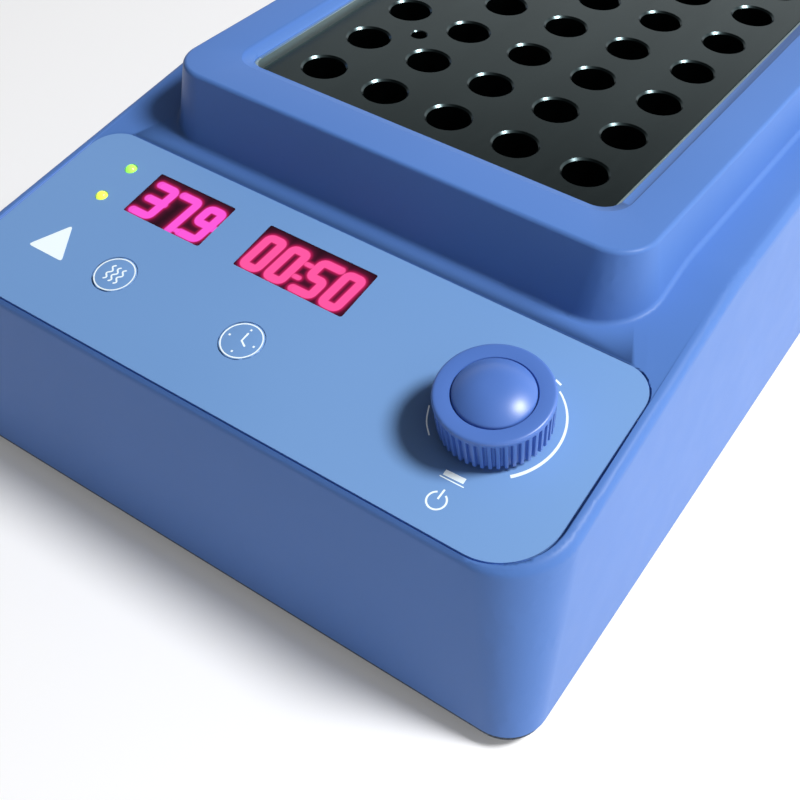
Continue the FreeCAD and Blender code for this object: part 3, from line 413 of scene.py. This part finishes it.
PRINTED_LINE = printed_line_tree()


def arc(centre, radius, start, end, steps=32):
    """Points along an arc, with angles in degrees from the panel's right, turning to its top."""
    turns = [math.radians(start + (end - start) * k / steps) for k in range(steps + 1)]
    return [(centre[0] + radius * math.cos(t), centre[1] + radius * math.sin(t)) for t in turns]


def rounded(corners, radius, closed=False, steps=5):
    """A path through corners, each rounded off."""
    path = []
    count = len(corners)
    for k, corner in enumerate(corners):
        here = Vector(corner)
        if not closed and k in (0, count - 1):
            path.append(here)
            continue
        before, after = Vector(corners[k - 1]), Vector(corners[(k + 1) % count])
        enter = here + (before - here).normalized() * min(radius, (before - here).length / 2)
        leave = here + (after - here).normalized() * min(radius, (after - here).length / 2)
        for step in range(steps + 1):
            t = step / steps
            path.append(enter * (1 - t) ** 2 + here * 2 * t * (1 - t) + leave * t ** 2)
    return [tuple(point) for point in path]


def line(points, widths, closed=False, round_ends=False):
    """One printed line: its points, its width at each, and whether it closes on itself."""
    points = [Vector(point) for point in points]
    if isinstance(widths, (int, float)):
        widths = [widths] * len(points)
    if round_ends:
        angles = [math.radians(angle) for angle in ROUND_END]
        back = [math.radians(angle) for angle in reversed(ROUND_END)]
        first = (points[0] - points[1]).normalized() * widths[0] / 2
        last = (points[-1] - points[-2]).normalized() * widths[-1] / 2
        start = [(points[0] + first * math.sin(a), widths[0] * math.cos(a)) for a in angles]
        end = [(points[-1] + last * math.sin(a), widths[-1] * math.cos(a)) for a in back]
        points = [p for p, _ in start] + points + [p for p, _ in end]
        widths = [w for _, w in start] + list(widths) + [w for _, w in end]
    return points, widths, closed


def printed(name, lines, height, thickness, material):
    """Printed lines on the panel, as thin closed bars standing on the given height."""
    curve = bpy.data.curves.new(name, "CURVE")
    curve.dimensions = "3D"
    for points, widths, closed in lines:
        spline = curve.splines.new("POLY")
        spline.points.add(len(points) - 1)
        for target, point, width in zip(spline.points, points, widths):
            target.co = (point[0] * MM, point[1] * MM, height * MM, 1.0)
            target.radius = width * MM
        spline.use_cyclic_u = closed
    widest = max(max(widths) for _, widths, _ in lines)
    sizes = {"Material": material, "Thinness": thickness / widest}
    piece = grown(name, curve, PRINTED_LINE, sizes)
    piece.data.shade_flat()
    piece.data.transform(ON_PANEL)
    return piece


def printed_patch(name, corners, radius, height, thickness, material):
    """A printed patch with rounded corners, as a thin closed plate on the given height."""
    shape = bmesh.new()
    outline = rounded(corners, radius, closed=True)
    rim = [shape.verts.new((u * MM, v * MM, height * MM)) for u, v in outline]
    top = bmesh.ops.extrude_face_region(shape, geom=[shape.faces.new(rim)])["geom"]
    raised = [item for item in top if isinstance(item, bmesh.types.BMVert)]
    bmesh.ops.translate(shape, verts=raised, vec=(0, 0, thickness * MM))
    bmesh.ops.recalc_face_normals(shape, faces=shape.faces)
    mesh = bpy.data.meshes.new(name)
    shape.to_mesh(mesh)
    shape.free()
    mesh.transform(ON_PANEL)
    mesh.materials.append(material)
    return link_object(name, mesh)


sheet_film = finish("sheet_film", ((113, 156, 211), (119, 161, 216)), gloss=(0.42, 0.5),
                    drift=10.0, grain=5200.0, relief=0.000006)
# The white ink has a faint white emission of its own: a painted glow that lifts the print, not a
# lamp.
print_white = finish("print_white", ((232, 246, 252), (240, 252, 255)), gloss=(0.45, 0.55),
                     grain=4000.0, sockets={"Emission Color": (0.9, 0.97, 1.0, 1.0),
                                            "Emission Strength": 0.12})
moulding("panel_overlay", "printed_sheet", sheet_film, crease=0.0)

SHEET_TOP = panel_height("panel_overlay")
DIAL_ARC = arc(centre=(54.1, 34.5), radius=15.25, start=57, end=-45)
DIAL = line(DIAL_ARC, widths=list(np.linspace(0.4, 0.8, len(DIAL_ARC))))
DIAL_TICK = line([(60.1, 49.5), (61.8, 48.9)], widths=0.5)
DIAL_SHADE = line(rounded([(40.8, 29.9), (42.6, 26.0), (45.1, 23.6)], radius=2.0), widths=0.28)
PUSH_BAR = line([(52.9, 17.7), (57.7, 17.9)], widths=1.35)
PUSH_EDGE = line([(52.5, 16.5), (58.3, 16.6)], widths=0.26)
POWER_RING = line(arc(centre=(55.3, 11.2), radius=2.1, start=118, end=422), PRINT_WIDTH)
POWER_STROKE = line([(55.3, 11.6), (55.3, 14.2)], PRINT_WIDTH)
PANEL_MARKS = [DIAL, DIAL_TICK, DIAL_SHADE, PUSH_BAR, PUSH_EDGE, POWER_RING, POWER_STROKE]
CAUTION_CORNERS = [(-68.4, 19.4), (-57.3, 19.4), (-63.2, 29.4)]

marks = printed("panel_marks", PANEL_MARKS, SHEET_TOP, PRINT_LIFT, print_white)
caution = printed_patch("caution_mark", CAUTION_CORNERS, CAUTION_ROUND, SHEET_TOP, PRINT_LIFT,
                        print_white)
for mark in (marks, caution):
    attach(mark, "housing")

# ---- Displays ----
# Two dark red filters sit flush in the sheet, over LED digits that light them up from behind: the
# block's temperature, and the time left. The digits are thick, slanted strokes, and their glow
# spreads in the filter.

DIGIT_PATHS = {
    "0": [([(0, 0), (1, 0), (1, 2), (0, 2)], True)],
    "3": [([(0, 2), (1, 2), (1, 0), (0, 0)], False), ([(0.15, 1), (0.85, 1)], False)],
    "5": [([(1, 2), (0, 2), (0, 1), (1, 1), (1, 0), (0, 0)], False)],
    "7": [([(0, 2), (1, 2), (1, 0)], False)],
    "9": [([(0, 0), (1, 0), (1, 2), (0, 2), (0, 1), (1, 1)], False)],
}
DIGIT_WIDE = 4.0
DIGIT_HALF = 4.95
DIGIT_SLANT = 0.06
DIGIT_FOOT = 1.3               # height of a digit's lowest stroke in its window
DIGIT_BEND = 1.3
STROKE = 1.95
DOT = 1.1
DOT_LONG = 0.1
DIGIT_GLOW = 1.05
DISPLAYS = {
    "temperature": {"digits": "379", "starts": (2.9, 10.3, 18.0), "dots": [(16.2, 1.3)],
                    "light": (250, 86, 214)},
    "timer": {"digits": "0050", "starts": (1.8, 8.9, 17.6, 24.9),
              "dots": [(15.4, 4.4), (15.7, 8.8)], "light": (255, 84, 158)},
}
FILTER_CELL = 0.24
FILTER_GLOWS = [(0.0, (30, 6, 18)), (0.35, (84, 12, 44)), (0.8, (176, 22, 80))]
GLOW_REACH = 0.95                  # how far the glow spreads from a stroke
GLOW_FADE = 1.3
UNLIT = 0.01                       # nothing within this of the filter's back glows
FAR = 1e3


def digit_lines(display, corner):
    """The lit strokes of a display, from the lower left corner of its window."""
    lines = []
    for digit, start in zip(display["digits"], display["starts"]):
        for corners, closed in DIGIT_PATHS[digit]:
            placed = [(corner[0] + start + x * DIGIT_WIDE + y * DIGIT_HALF * DIGIT_SLANT,
                       corner[1] + DIGIT_FOOT + y * DIGIT_HALF) for x, y in corners]
            path = rounded(placed, DIGIT_BEND, closed)
            lines.append(line(path, STROKE, closed, round_ends=not closed))
    for u, v in display["dots"]:
        centre = (corner[0] + u, corner[1] + v)
        lines.append(line([centre, (centre[0] + DOT_LONG, centre[1])], DOT, round_ends=True))
    return lines


def distance_to_lines(points, lines):
    """How far each point is from the nearest lit stroke's edge."""
    nearest = np.full(len(points), FAR)
    for path, widths, closed in lines:
        ends = path + [path[0]] if closed else path
        for a, b in zip(ends, ends[1:]):
            start, run = np.array(a), np.array(b) - np.array(a)
            along = np.clip((points - start) @ run / max(run @ run, 1e-9), 0, 1)
            gap = np.linalg.norm(points - start - along[:, None] * run, axis=1) - max(widths) / 2
            nearest = np.minimum(nearest, gap)
    return np.maximum(nearest, 0)


def window_box(node):
    """A window's lowest and highest corner in panel coordinates, in millimetres."""
    back = ON_PANEL.inverted()
    vertices = frame["nodes"][node].data.vertices
    places = np.array([back @ vertex.co for vertex in vertices]) / MM
    return places.min(0), places.max(0)


def filter_glass(name, light):
    """Dark red filter: near black where no light reaches it, maroon near a lit stroke."""
    glass = finish(name, ((20, 5, 12), (26, 7, 16)), gloss=(0.2, 0.26), grain=900.0,
                   relief=0.000002, sockets={"Emission Strength": 1.0, "Specular IOR Level": 0.3})
    tree = glass.node_tree
    glow = tree.nodes.new("ShaderNodeAttribute")
    glow.attribute_name = "glow"
    stops = [(place, colour(*tone)) for place, tone in FILTER_GLOWS + [(1.0, light)]]
    spread = ramp(tree, glow.outputs["Fac"], stops)
    tree.links.new(spread, tree.nodes["Principled BSDF"].inputs["Emission Color"])
    return glass


def filter_piece(node, name, lines, material):
    """The filter as a finely divided plate that knows how near each spot is to a lit stroke."""
    low, high = window_box(node)
    columns = round((high[0] - low[0]) / FILTER_CELL)
    rows = round((high[1] - low[1]) / FILTER_CELL)
    plate = bmesh.new()
    bmesh.ops.create_grid(plate, x_segments=columns, y_segments=rows, size=0.5)
    centre, size = (low + high) / 2, high - low
    for vertex in plate.verts:
        vertex.co = (centre[0] + vertex.co.x * size[0], centre[1] + vertex.co.y * size[1], high[2])
    rim = [edge for edge in plate.edges if edge.is_boundary]
    grown_rim = bmesh.ops.extrude_edge_only(plate, edges=rim)["geom"]
    lower = [item for item in grown_rim if isinstance(item, bmesh.types.BMVert)]
    bmesh.ops.translate(plate, verts=lower, vec=(0, 0, low[2] - high[2]))
    back_rim = [edge for edge in plate.edges if edge.is_boundary]
    bmesh.ops.contextual_create(plate, geom=back_rim)
    bmesh.ops.recalc_face_normals(plate, faces=plate.faces)
    mesh = bpy.data.meshes.new(name)
    plate.to_mesh(mesh)
    plate.free()
    spots = np.array([vertex.co[:] for vertex in mesh.vertices])
    reach = distance_to_lines(spots[:, :2], lines) / GLOW_REACH
    glow = mesh.attributes.new("glow", "FLOAT", "POINT")
    glow.data.foreach_set("value", np.exp(-reach ** GLOW_FADE) * (spots[:, 2] > low[2] + UNLIT))
    mesh.transform(Matrix.Scale(MM, 4))
    mesh.transform(ON_PANEL)
    mesh.materials.append(material)
    return place_piece(link_object(name, mesh), node)


for which, display in DISPLAYS.items():
    window = which + "_window"
    low, high = window_box(window)
    lit = digit_lines(display, low)
    glass = filter_glass(which + "_filter_glass", display["light"])
    filter_piece(window, which + "_filter", lit, glass)
    light = finish(which + "_digit_light", ((60, 10, 30), (66, 12, 34)), gloss=(0.3, 0.36),
                   sockets={"Emission Color": colour(*display["light"]),
                            "Emission Strength": DIGIT_GLOW})
    digits = printed(which + "_digits", lit, high[2], PRINT_LIFT, light)
    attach(digits, "housing")

# ---- Lamps ----
# Two 3 mm lamps of clear tinted epoxy, green for heating and yellow for the timer. They stand
# on spacers on the board, with their domes just out of the sheet.

LAMP_LIGHTS = {"heat_indicator": (166, 255, 92), "timer_indicator": (226, 246, 84)}
LAMP_GLOW = 0.8

for lamp, tone in LAMP_LIGHTS.items():
    epoxy = finish(lamp + "_epoxy", (tone, tone), gloss=(0.12, 0.2), relief=0.000002,
                   sockets={"Emission Color": colour(*tone), "Emission Strength": LAMP_GLOW})
    moulding(lamp, lamp + "_lamp", epoxy)

# ---- Keys ----
# Two round plastic keys lie level with the sheet in its own blue. Each has a printed white ring
# with a mark inside it for what the key sets: rising heat, or the hands of a clock.

KEY_PLACES = {"heat": (-43.4, 22.9), "timer": (-4.9, 22.9)}
RING_R = 4.85
RING_WIDTH = 0.32
RING_POINTS = 64
WAVE_GAP = 1.6
WAVE_SWING = 0.42
WAVE_HALF = 2.2                    # half of a wave's height
WAVE_STEPS = 24
CLOCK_HANDS = ((0.0, 2.3), (0.0, 0.0), (1.5, -0.9))
HAND_WIDTH = 0.45
TICK_R = 3.45
TICK_WIDTH = 0.5
TICK_HALF = 4                      # half of a tick's angle


def heat_mark(centre):
    """Three wavy lines of rising heat, two swings to each."""
    waves = []
    for offset in (-WAVE_GAP, 0.0, WAVE_GAP):
        wave = [(centre[0] + offset + WAVE_SWING * math.sin(k / WAVE_STEPS * 4 * math.pi),
                 centre[1] + WAVE_HALF * (2 * k / WAVE_STEPS - 1)) for k in range(WAVE_STEPS + 1)]
        waves.append(line(wave, PRINT_WIDTH, round_ends=True))
    return waves


def clock_mark(centre):
    """A clock's two hands and four ticks."""
    hands = [(centre[0] + u, centre[1] + v) for u, v in CLOCK_HANDS]
    ticks = [arc(centre, TICK_R, turn - TICK_HALF, turn + TICK_HALF, steps=4)
             for turn in (0, 90, 180, 270)]
    return [line(hands, HAND_WIDTH, round_ends=True)] + [line(tick, TICK_WIDTH) for tick in ticks]


KEY_MARKS = {"heat": heat_mark, "timer": clock_mark}
for key, centre in KEY_PLACES.items():
    node = key + "_key"
    moulding(node, node + "_cap", sheet_film)
    turns = arc(centre, RING_R, 0, 360 - 360 / RING_POINTS, steps=RING_POINTS - 1)
    lines = [line(turns, RING_WIDTH, closed=True)] + KEY_MARKS[key](centre)
    mark = printed(node + "_mark", lines, panel_height(node), PRINT_LIFT, print_white)
    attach(mark, body_of(node))

# ---- Knob ----
# A push-and-turn knob in the housing's blue: a ring with grooves round its skirt and a smooth
# rolled rim, and a domed cap pressed into it. Both are turned shapes, and a tree sinks the grooves
# into the ring.

KNOB_LOW, KNOB_EDGE, KNOB_RIM = 1.4, 10.2, 11.0     # heights over the deck
KNOB_LOW_R, KNOB_R = 12.3, 12.8
KNOB_FOOT = 0.15                   # the small chamfer under the skirt
RIM_ROLL = 0.75
RIM_SWELL = 0.05
RIM_MIDDLE_R = 10.6
RECESS_GAPS = (0.35, 0.12, 0.05)   # room round the cap at the recess's mouth, below it, at its floor
RECESS_DROPS = (0.15, 0.6)         # how far the mouth and the place below it are under the rim
SKIRT_HEIGHTS = (3.0, 5.0, 7.0, 8.8, 9.1, 9.25, 9.4, 9.55, 9.7, 9.85, KNOB_EDGE)
HUB_R = 7.6
HUB_LOW, CAP_SEAT = 3.8, 7.2       # the hub's underside, and the floor that the cap sits on
SHAFT_R = 3.0
CAP_R = 8.8
CAP_CROWN = 13.8
CAP_ROUND = 2.6                    # over 2, the dome is flatter in the middle and rounder outside
CAP_STEPS = 128
SHOULDER_DROPS = (0.5, 0.02)       # where the cap's shoulder starts, and where it is pulled to
DOME_PLACES = (0.97, 0.94, 0.9, 0.84, 0.76, 0.66, 0.55, 0.44, 0.33, 0.22, 0.11, 0.0)
GROOVES = 46
GROOVE_DEPTH = 0.68
GROOVE_TOP = 9.5
GROOVE_SIDES = (0.35, -0.45)       # a groove's mouth and floor, on a wave round the skirt
GROOVED_SKIN = (-0.35, -0.2)       # only points this near the skirt's outside are moved
GROOVE_FADE = (0.3, -0.3)          # the grooves run out over this height round their top
STEPS_PER_GROOVE = 14
KNOB_TONES = ((78, 116, 192), (84, 122, 200))
KNOB_CREASE = math.radians(40)
ON_AXIS = 1e-6


def turned(name, profile, steps):
    """A closed solid of revolution about Z. The profile runs round the section, in millimetres."""
    angles = np.arange(steps) * 2 * math.pi / steps
    shape = bmesh.new()
    rings = []
    for radius, height in profile:
        if radius < ON_AXIS:
            rings.append([shape.verts.new((0, 0, height))] * steps)
        else:
            rings.append([shape.verts.new((radius * math.cos(a), radius * math.sin(a), height))
                          for a in angles])
    for lower, upper in zip(rings, rings[1:] + rings[:1]):
        for k in range(steps):
            corners = [lower[k], lower[k - 1], upper[k - 1], upper[k]]
            kept = [corner for i, corner in enumerate(corners) if corner not in corners[:i]]
            if len(kept) > 2:
                shape.faces.new(kept)
    bmesh.ops.recalc_face_normals(shape, faces=shape.faces)
    mesh = bpy.data.meshes.new(name)
    shape.to_mesh(mesh)
    shape.free()
    return mesh


def bend(start, middle, end, steps=6):
    """Points of a section along a curve from start to end, pulled towards middle."""
    places = [k / steps for k in range(steps + 1)]
    return [tuple((1 - t) ** 2 * s + 2 * t * (1 - t) * m + t * t * e
                  for s, m, e in zip(start, middle, end)) for t in places]


def grooves_tree():
    """Sinks upright grooves into a skirt, by the angle of each point about Z and its height."""
    tree, given = start_tree("skirt_grooves", {"Grooves": "Float", "Depth": "Float",
                                               "Skirt Radius": "Float", "Skirt Top": "Float"})
    place = tree.nodes.new("GeometryNodeInputPosition")
    parts = tree.nodes.new("ShaderNodeSeparateXYZ")
    tree.links.new(place.outputs[0], parts.inputs[0])
    x, y, z = parts.outputs
    angle = node_sum(tree, "ARCTAN2", y, x)
    wave = node_sum(tree, "COSINE", node_sum(tree, "MULTIPLY", angle, given["Grooves"]))
    across = node_sum(tree, "SQRT", node_sum(tree, "ADD", node_sum(tree, "MULTIPLY", x, x),
                                             node_sum(tree, "MULTIPLY", y, y)))

    def between(value, limits):
        """Goes smoothly from 0 at the first limit to 1 at the second."""
        step = tree.nodes.new("ShaderNodeMapRange")
        step.interpolation_type = "SMOOTHSTEP"
        step.inputs["From Min"].default_value, step.inputs["From Max"].default_value = limits
        tree.links.new(value, step.inputs["Value"])
        return step.outputs["Result"]

    sunk = between(wave, GROOVE_SIDES)
    outer = between(node_sum(tree, "SUBTRACT", across, given["Skirt Radius"]), GROOVED_SKIN)
    below = between(node_sum(tree, "SUBTRACT", z, given["Skirt Top"]), GROOVE_FADE)
    amount = node_sum(tree, "MULTIPLY", node_sum(tree, "MULTIPLY", sunk, outer), below)
    inward = node_sum(tree, "MULTIPLY", node_sum(tree, "MULTIPLY", amount, given["Depth"]), -1.0)
    outward = tree.nodes.new("ShaderNodeVectorMath")
    outward.operation = "NORMALIZE"
    flat = tree.nodes.new("ShaderNodeCombineXYZ")
    tree.links.new(x, flat.inputs[0])
    tree.links.new(y, flat.inputs[1])
    tree.links.new(flat.outputs[0], outward.inputs[0])
    push = tree.nodes.new("ShaderNodeVectorMath")
    push.operation = "SCALE"
    tree.links.new(outward.outputs[0], push.inputs[0])
    tree.links.new(inward, push.inputs["Scale"])
    moved = tree.nodes.new("GeometryNodeSetPosition")
    tree.links.new(given["Geometry"], moved.inputs["Geometry"])
    tree.links.new(push.outputs[0], moved.inputs["Offset"])
    return end_tree(tree, given, moved.outputs["Geometry"])


def on_knob(piece):
    """Stands a turned piece on the panel at the knob's place."""
    place = Matrix.Translation((KNOB_U * MM, KNOB_V * MM, 0)) @ Matrix.Scale(MM, 4)
    piece.data.transform(ON_PANEL @ place)
    return piece


knob_plastic = finish("knob_plastic", KNOB_TONES, gloss=(0.3, 0.38), drift=30.0, grain=3000.0,
                      relief=0.000008, sockets={"Specular IOR Level": 0.6})
skirt = [(KNOB_LOW_R + (KNOB_R - KNOB_LOW_R) * (z - KNOB_LOW) / (KNOB_EDGE - KNOB_LOW), z)
         for z in (KNOB_LOW + KNOB_FOOT, *SKIRT_HEIGHTS)]
rolled = bend(start=(KNOB_R, KNOB_EDGE), middle=(KNOB_R, KNOB_RIM - RIM_SWELL),
              end=(KNOB_R - RIM_ROLL, KNOB_RIM), steps=8)
crown = bend(start=(KNOB_R - RIM_ROLL, KNOB_RIM), middle=(RIM_MIDDLE_R, KNOB_RIM + RIM_SWELL),
             end=(CAP_R + RECESS_GAPS[0], KNOB_RIM - RECESS_DROPS[0]))
hub = [(SHAFT_R, CAP_SEAT), (SHAFT_R, HUB_LOW), (HUB_R, HUB_LOW), (HUB_R, KNOB_LOW),
       (KNOB_LOW_R - KNOB_FOOT, KNOB_LOW)]
recess = [(CAP_R + RECESS_GAPS[1], KNOB_RIM - RECESS_DROPS[1]),
          (CAP_R + RECESS_GAPS[2], CAP_SEAT)]
ring_blank = turned("knob_ring", hub + skirt + rolled[1:] + crown[1:] + recess,
                    steps=GROOVES * STEPS_PER_GROOVE)
ring = grown("knob_ring", ring_blank, grooves_tree(),
             {"Material": knob_plastic, "Grooves": float(GROOVES), "Depth": GROOVE_DEPTH,
              "Skirt Radius": KNOB_LOW_R, "Skirt Top": GROOVE_TOP})
place_piece(shade_curves(on_knob(ring), KNOB_CREASE), "knob_grip")

dome = [(CAP_R * t, CAP_CROWN - (CAP_CROWN - KNOB_RIM) * t ** CAP_ROUND) for t in DOME_PLACES]
shoulder = bend(start=(CAP_R, KNOB_RIM - SHOULDER_DROPS[0]),
                middle=(CAP_R, KNOB_RIM - SHOULDER_DROPS[1]), end=dome[0])
cap = turned("knob_dome", [(0.0, CAP_SEAT), (CAP_R, CAP_SEAT)] + shoulder + dome[1:], CAP_STEPS)
cap.materials.append(knob_plastic)
place_piece(shade_curves(on_knob(link_object("knob_dome", cap)), KNOB_CREASE), "knob_cap")

# ---- Tube block ----
# A block of aluminium, hard anodised nearly black, drilled with five by seven tube wells and one
# thin well for a thermometer. Every well has a small chamfer and a drilled cone at the bottom; a
# tree bores them.

PITCH = 19.05
COLUMNS, ROWS = 5, 7
WELL_R = 5.5
WELL_CHAMFER = 0.5
WELL_STRAIGHT = 31.0
WELL_DEPTH = 37.0
WELL_TIP_R = 2.0
WELL_SIDES = 56
PROBE_R = 2.1
PROBE_CHAMFER = 0.25
PROBE_STRAIGHT = 27.2
PROBE_DEPTH = 28.0
PROBE_TIP_R = 0.5
PROBE_SIDES = 32
PROBE_CELLS = (-1.5, -1.5)         # where the thermometer well is, in pitches from the middle
DRILL_OVER = 0.4                   # how far a drill's shape stands over the block's top
BLOCK_CORNER = 3.0
BLOCK_EDGE = 0.45


def rounded_box(name, low, high, radius, edge, steps=6):
    """A box with rounded upright corners and a small chamfer round its top and bottom."""
    shape = bmesh.new()
    levels = ((low[2], edge), (low[2] + edge, 0), (high[2] - edge, 0), (high[2], edge))
    rings = []
    for height, inset in levels:
        ring = []
        for k, (side_x, side_y) in enumerate(((1, -1), (1, 1), (-1, 1), (-1, -1))):
            corner_x = (high[0] if side_x > 0 else low[0]) - side_x * radius
            corner_y = (high[1] if side_y > 0 else low[1]) - side_y * radius
            for step in range(steps + 1):
                angle = math.radians(-90 + 90 * k + 90 * step / steps)
                x = corner_x + (radius - inset) * math.cos(angle)
                y = corner_y + (radius - inset) * math.sin(angle)
                ring.append(shape.verts.new((x, y, height)))
        rings.append(ring)
    for lower, upper in zip(rings, rings[1:]):
        for k in range(len(lower)):
            shape.faces.new((lower[k - 1], lower[k], upper[k], upper[k - 1]))
    shape.faces.new(list(reversed(rings[0])))
    shape.faces.new(rings[-1])
    mesh = bpy.data.meshes.new(name)
    shape.to_mesh(mesh)
    shape.free()
    return mesh


def bored_block_tree():
    """Bores a grid of wells and one thermometer well out of a block."""
    tree, given = start_tree("bored_block", {"Columns": "Int", "Rows": "Int", "Pitch": "Float",
                                             "Middle": "Vector", "Well": "Object",
                                             "Probe": "Object", "Probe Place": "Vector"})
    grid = tree.nodes.new("GeometryNodeMeshGrid")
    for size, count in (("Size X", "Columns"), ("Size Y", "Rows")):
        gaps = node_sum(tree, "SUBTRACT", given[count], 1.0)
        tree.links.new(node_sum(tree, "MULTIPLY", gaps, given["Pitch"]), grid.inputs[size])
    tree.links.new(given["Columns"], grid.inputs["Vertices X"])
    tree.links.new(given["Rows"], grid.inputs["Vertices Y"])
    placed = tree.nodes.new("GeometryNodeSetPosition")
    tree.links.new(grid.outputs["Mesh"], placed.inputs["Geometry"])
    tree.links.new(given["Middle"], placed.inputs["Offset"])
    well = tree.nodes.new("GeometryNodeObjectInfo")
    tree.links.new(given["Well"], well.inputs["Object"])
    wells = tree.nodes.new("GeometryNodeInstanceOnPoints")
    tree.links.new(placed.outputs["Geometry"], wells.inputs["Points"])
    tree.links.new(well.outputs["Geometry"], wells.inputs["Instance"])
    probe = tree.nodes.new("GeometryNodeObjectInfo")
    tree.links.new(given["Probe"], probe.inputs["Object"])
    probe_placed = tree.nodes.new("GeometryNodeTransform")
    tree.links.new(probe.outputs["Geometry"], probe_placed.inputs["Geometry"])
    tree.links.new(given["Probe Place"], probe_placed.inputs["Translation"])
    bored = tree.nodes.new("GeometryNodeMeshBoolean")
    bored.operation = "DIFFERENCE"
    bored.solver = "EXACT"
    tree.links.new(given["Geometry"], bored.inputs["Mesh 1"])
    tree.links.new(wells.outputs["Instances"], bored.inputs["Mesh 2"])
    tree.links.new(probe_placed.outputs["Geometry"], bored.inputs["Mesh 2"])
    return end_tree(tree, given, bored.outputs["Mesh"])


def drill(name, radius, chamfer, straight, depth, tip, sides):
    """A well's shape as a solid, with its mouth at height 0."""
    profile = [(0.0, DRILL_OVER), (radius + chamfer + DRILL_OVER, DRILL_OVER), (radius, -chamfer),
               (radius, -straight), (tip, -depth), (0.0, -depth)]
    mesh = turned(name, profile, sides)
    mesh.transform(Matrix.Scale(MM, 4))
    return link_object(name, mesh)


anodised = finish("anodised_black", ((62, 74, 76), (72, 85, 87)), gloss=(0.2, 0.28), drift=40.0,
                  grain=2200.0, relief=0.000006, stretch=(1.0, 0.2, 1.0),
                  sockets={"Metallic": 1.0})
low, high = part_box("heat_block")
middle = (low + high) / 2
middle.z = high.z
blank = rounded_box("tube_block", low, high, BLOCK_CORNER * MM, BLOCK_EDGE * MM)
well_drill = drill("well_drill", WELL_R, WELL_CHAMFER, WELL_STRAIGHT, WELL_DEPTH, WELL_TIP_R,
                   WELL_SIDES)
probe_drill = drill("probe_drill", PROBE_R, PROBE_CHAMFER, PROBE_STRAIGHT, PROBE_DEPTH,
                    PROBE_TIP_R, PROBE_SIDES)
probe_place = middle + Vector((*PROBE_CELLS, 0)) * PITCH * MM
block = grown("tube_block", blank, bored_block_tree(),
              {"Material": anodised, "Columns": COLUMNS, "Rows": ROWS, "Pitch": PITCH * MM,
               "Middle": middle, "Well": well_drill, "Probe": probe_drill,
               "Probe Place": probe_place})
for drilled in (well_drill, probe_drill):
    bpy.data.objects.remove(drilled)
place_piece(shade_curves(block), "heat_block")

# ---- Well liner ----
# A folded aluminium box lines the well. It is bright inside, and its upper edge shows round the
# block.

bright_aluminium = finish("bright_aluminium", ((176, 200, 204), (196, 216, 218)),
                          gloss=(0.26, 0.42), drift=35.0, grain=1400.0, relief=0.000012,
                          stretch=(1.0, 1.0, 6.0), sockets={"Metallic": 0.85})
moulding("block_well", "well_liner", bright_aluminium)

# ---- Mains inlet ----
# The rear wall holds a black moulded three-pin inlet, fixed with two zinc-plated screws. A drawer
# below the socket slides out with two fuses.

black_plastic = finish("black_plastic", ((20, 21, 23), (27, 28, 30)), gloss=(0.4, 0.5),
                       drift=50.0, relief=0.00002)
pin_brass = finish("pin_brass", ((190, 186, 170), (206, 200, 184)), gloss=(0.22, 0.32),
                   drift=80.0, sockets={"Metallic": 1.0})
zinc_steel = finish("zinc_steel", ((158, 160, 162), (178, 180, 182)), gloss=(0.28, 0.4),
                    drift=120.0, relief=0.000008, sockets={"Metallic": 1.0})
moulding("inlet_body", "inlet_housing", black_plastic)
moulding("fuse_drawer", "fuse_drawer_moulding", black_plastic)
moulding("inlet_screws", "inlet_screw_pair", zinc_steel)

# ---- Inside ----
# Boards, wiring, heater and insulation behind the shell keep their CAD shape. Each takes the finish
# of what it is made of: bare and zinc-plated metal, brass, green board, black plastic, silicone,
# foam and sleeving.

mill_aluminium = finish("mill_aluminium", ((168, 172, 176), (186, 190, 194)), gloss=(0.32, 0.48),
                        stretch=(1.0, 8.0, 1.0), sockets={"Metallic": 1.0})
heater_silicone = finish("heater_silicone", ((150, 62, 34), (164, 70, 40)), gloss=(0.6, 0.7),
                         relief=0.00004)
insulation_foam = finish("insulation_foam", ((206, 200, 186), (222, 216, 202)), gloss=(0.9, 1.0),
                         drift=220.0, grain=900.0, relief=0.0002)
circuit_board = finish("circuit_board", ((20, 84, 52), (26, 98, 60)), gloss=(0.3, 0.42),
                       drift=90.0, relief=0.00002)
transformer_steel = finish("transformer_steel", ((92, 96, 100), (112, 116, 120)),
                           gloss=(0.36, 0.5), stretch=(1.0, 30.0, 1.0), drift=60.0,
                           sockets={"Metallic": 0.9})
ribbon_grey = finish("ribbon_grey", ((150, 152, 156), (166, 168, 172)), gloss=(0.5, 0.6),
                     drift=400.0)
INNER_FINISHES = {
    "plain_aluminium": mill_aluminium,
    "heater_silicone": heater_silicone,
    "insulation_foam": insulation_foam,
    "circuit_board": circuit_board,
    "black_plastic": black_plastic,
    "brass": pin_brass,
    "screw_steel": zinc_steel,
    "sensor_steel": zinc_steel,
    "transformer_steel": transformer_steel,
    "ribbon_grey": ribbon_grey,
}
PLAIN_INNER_TONES = {
    "capacitor_sleeve": (((24, 34, 74), (30, 42, 88)), (0.3, 0.4)),
    "terminal_green": (((34, 132, 78), (42, 146, 88)), (0.4, 0.5)),
    "lead_insulation": (((178, 44, 36), (192, 52, 42)), (0.45, 0.55)),
    "fuse_glass": (((196, 204, 206), (212, 220, 222)), (0.08, 0.16)),
    "display_potting": (((34, 30, 32), (42, 38, 40)), (0.4, 0.5)),
}
for name, (tones, gloss) in PLAIN_INNER_TONES.items():
    INNER_FINISHES[name] = finish(name, tones, gloss)
for part in frame["record"]["subparts"]:
    node = frame["nodes"][part["node"]]
    if not node.hide_render:
        node.data.materials.clear()
        node.data.materials.append(INNER_FINISHES[part["material_slot"]])
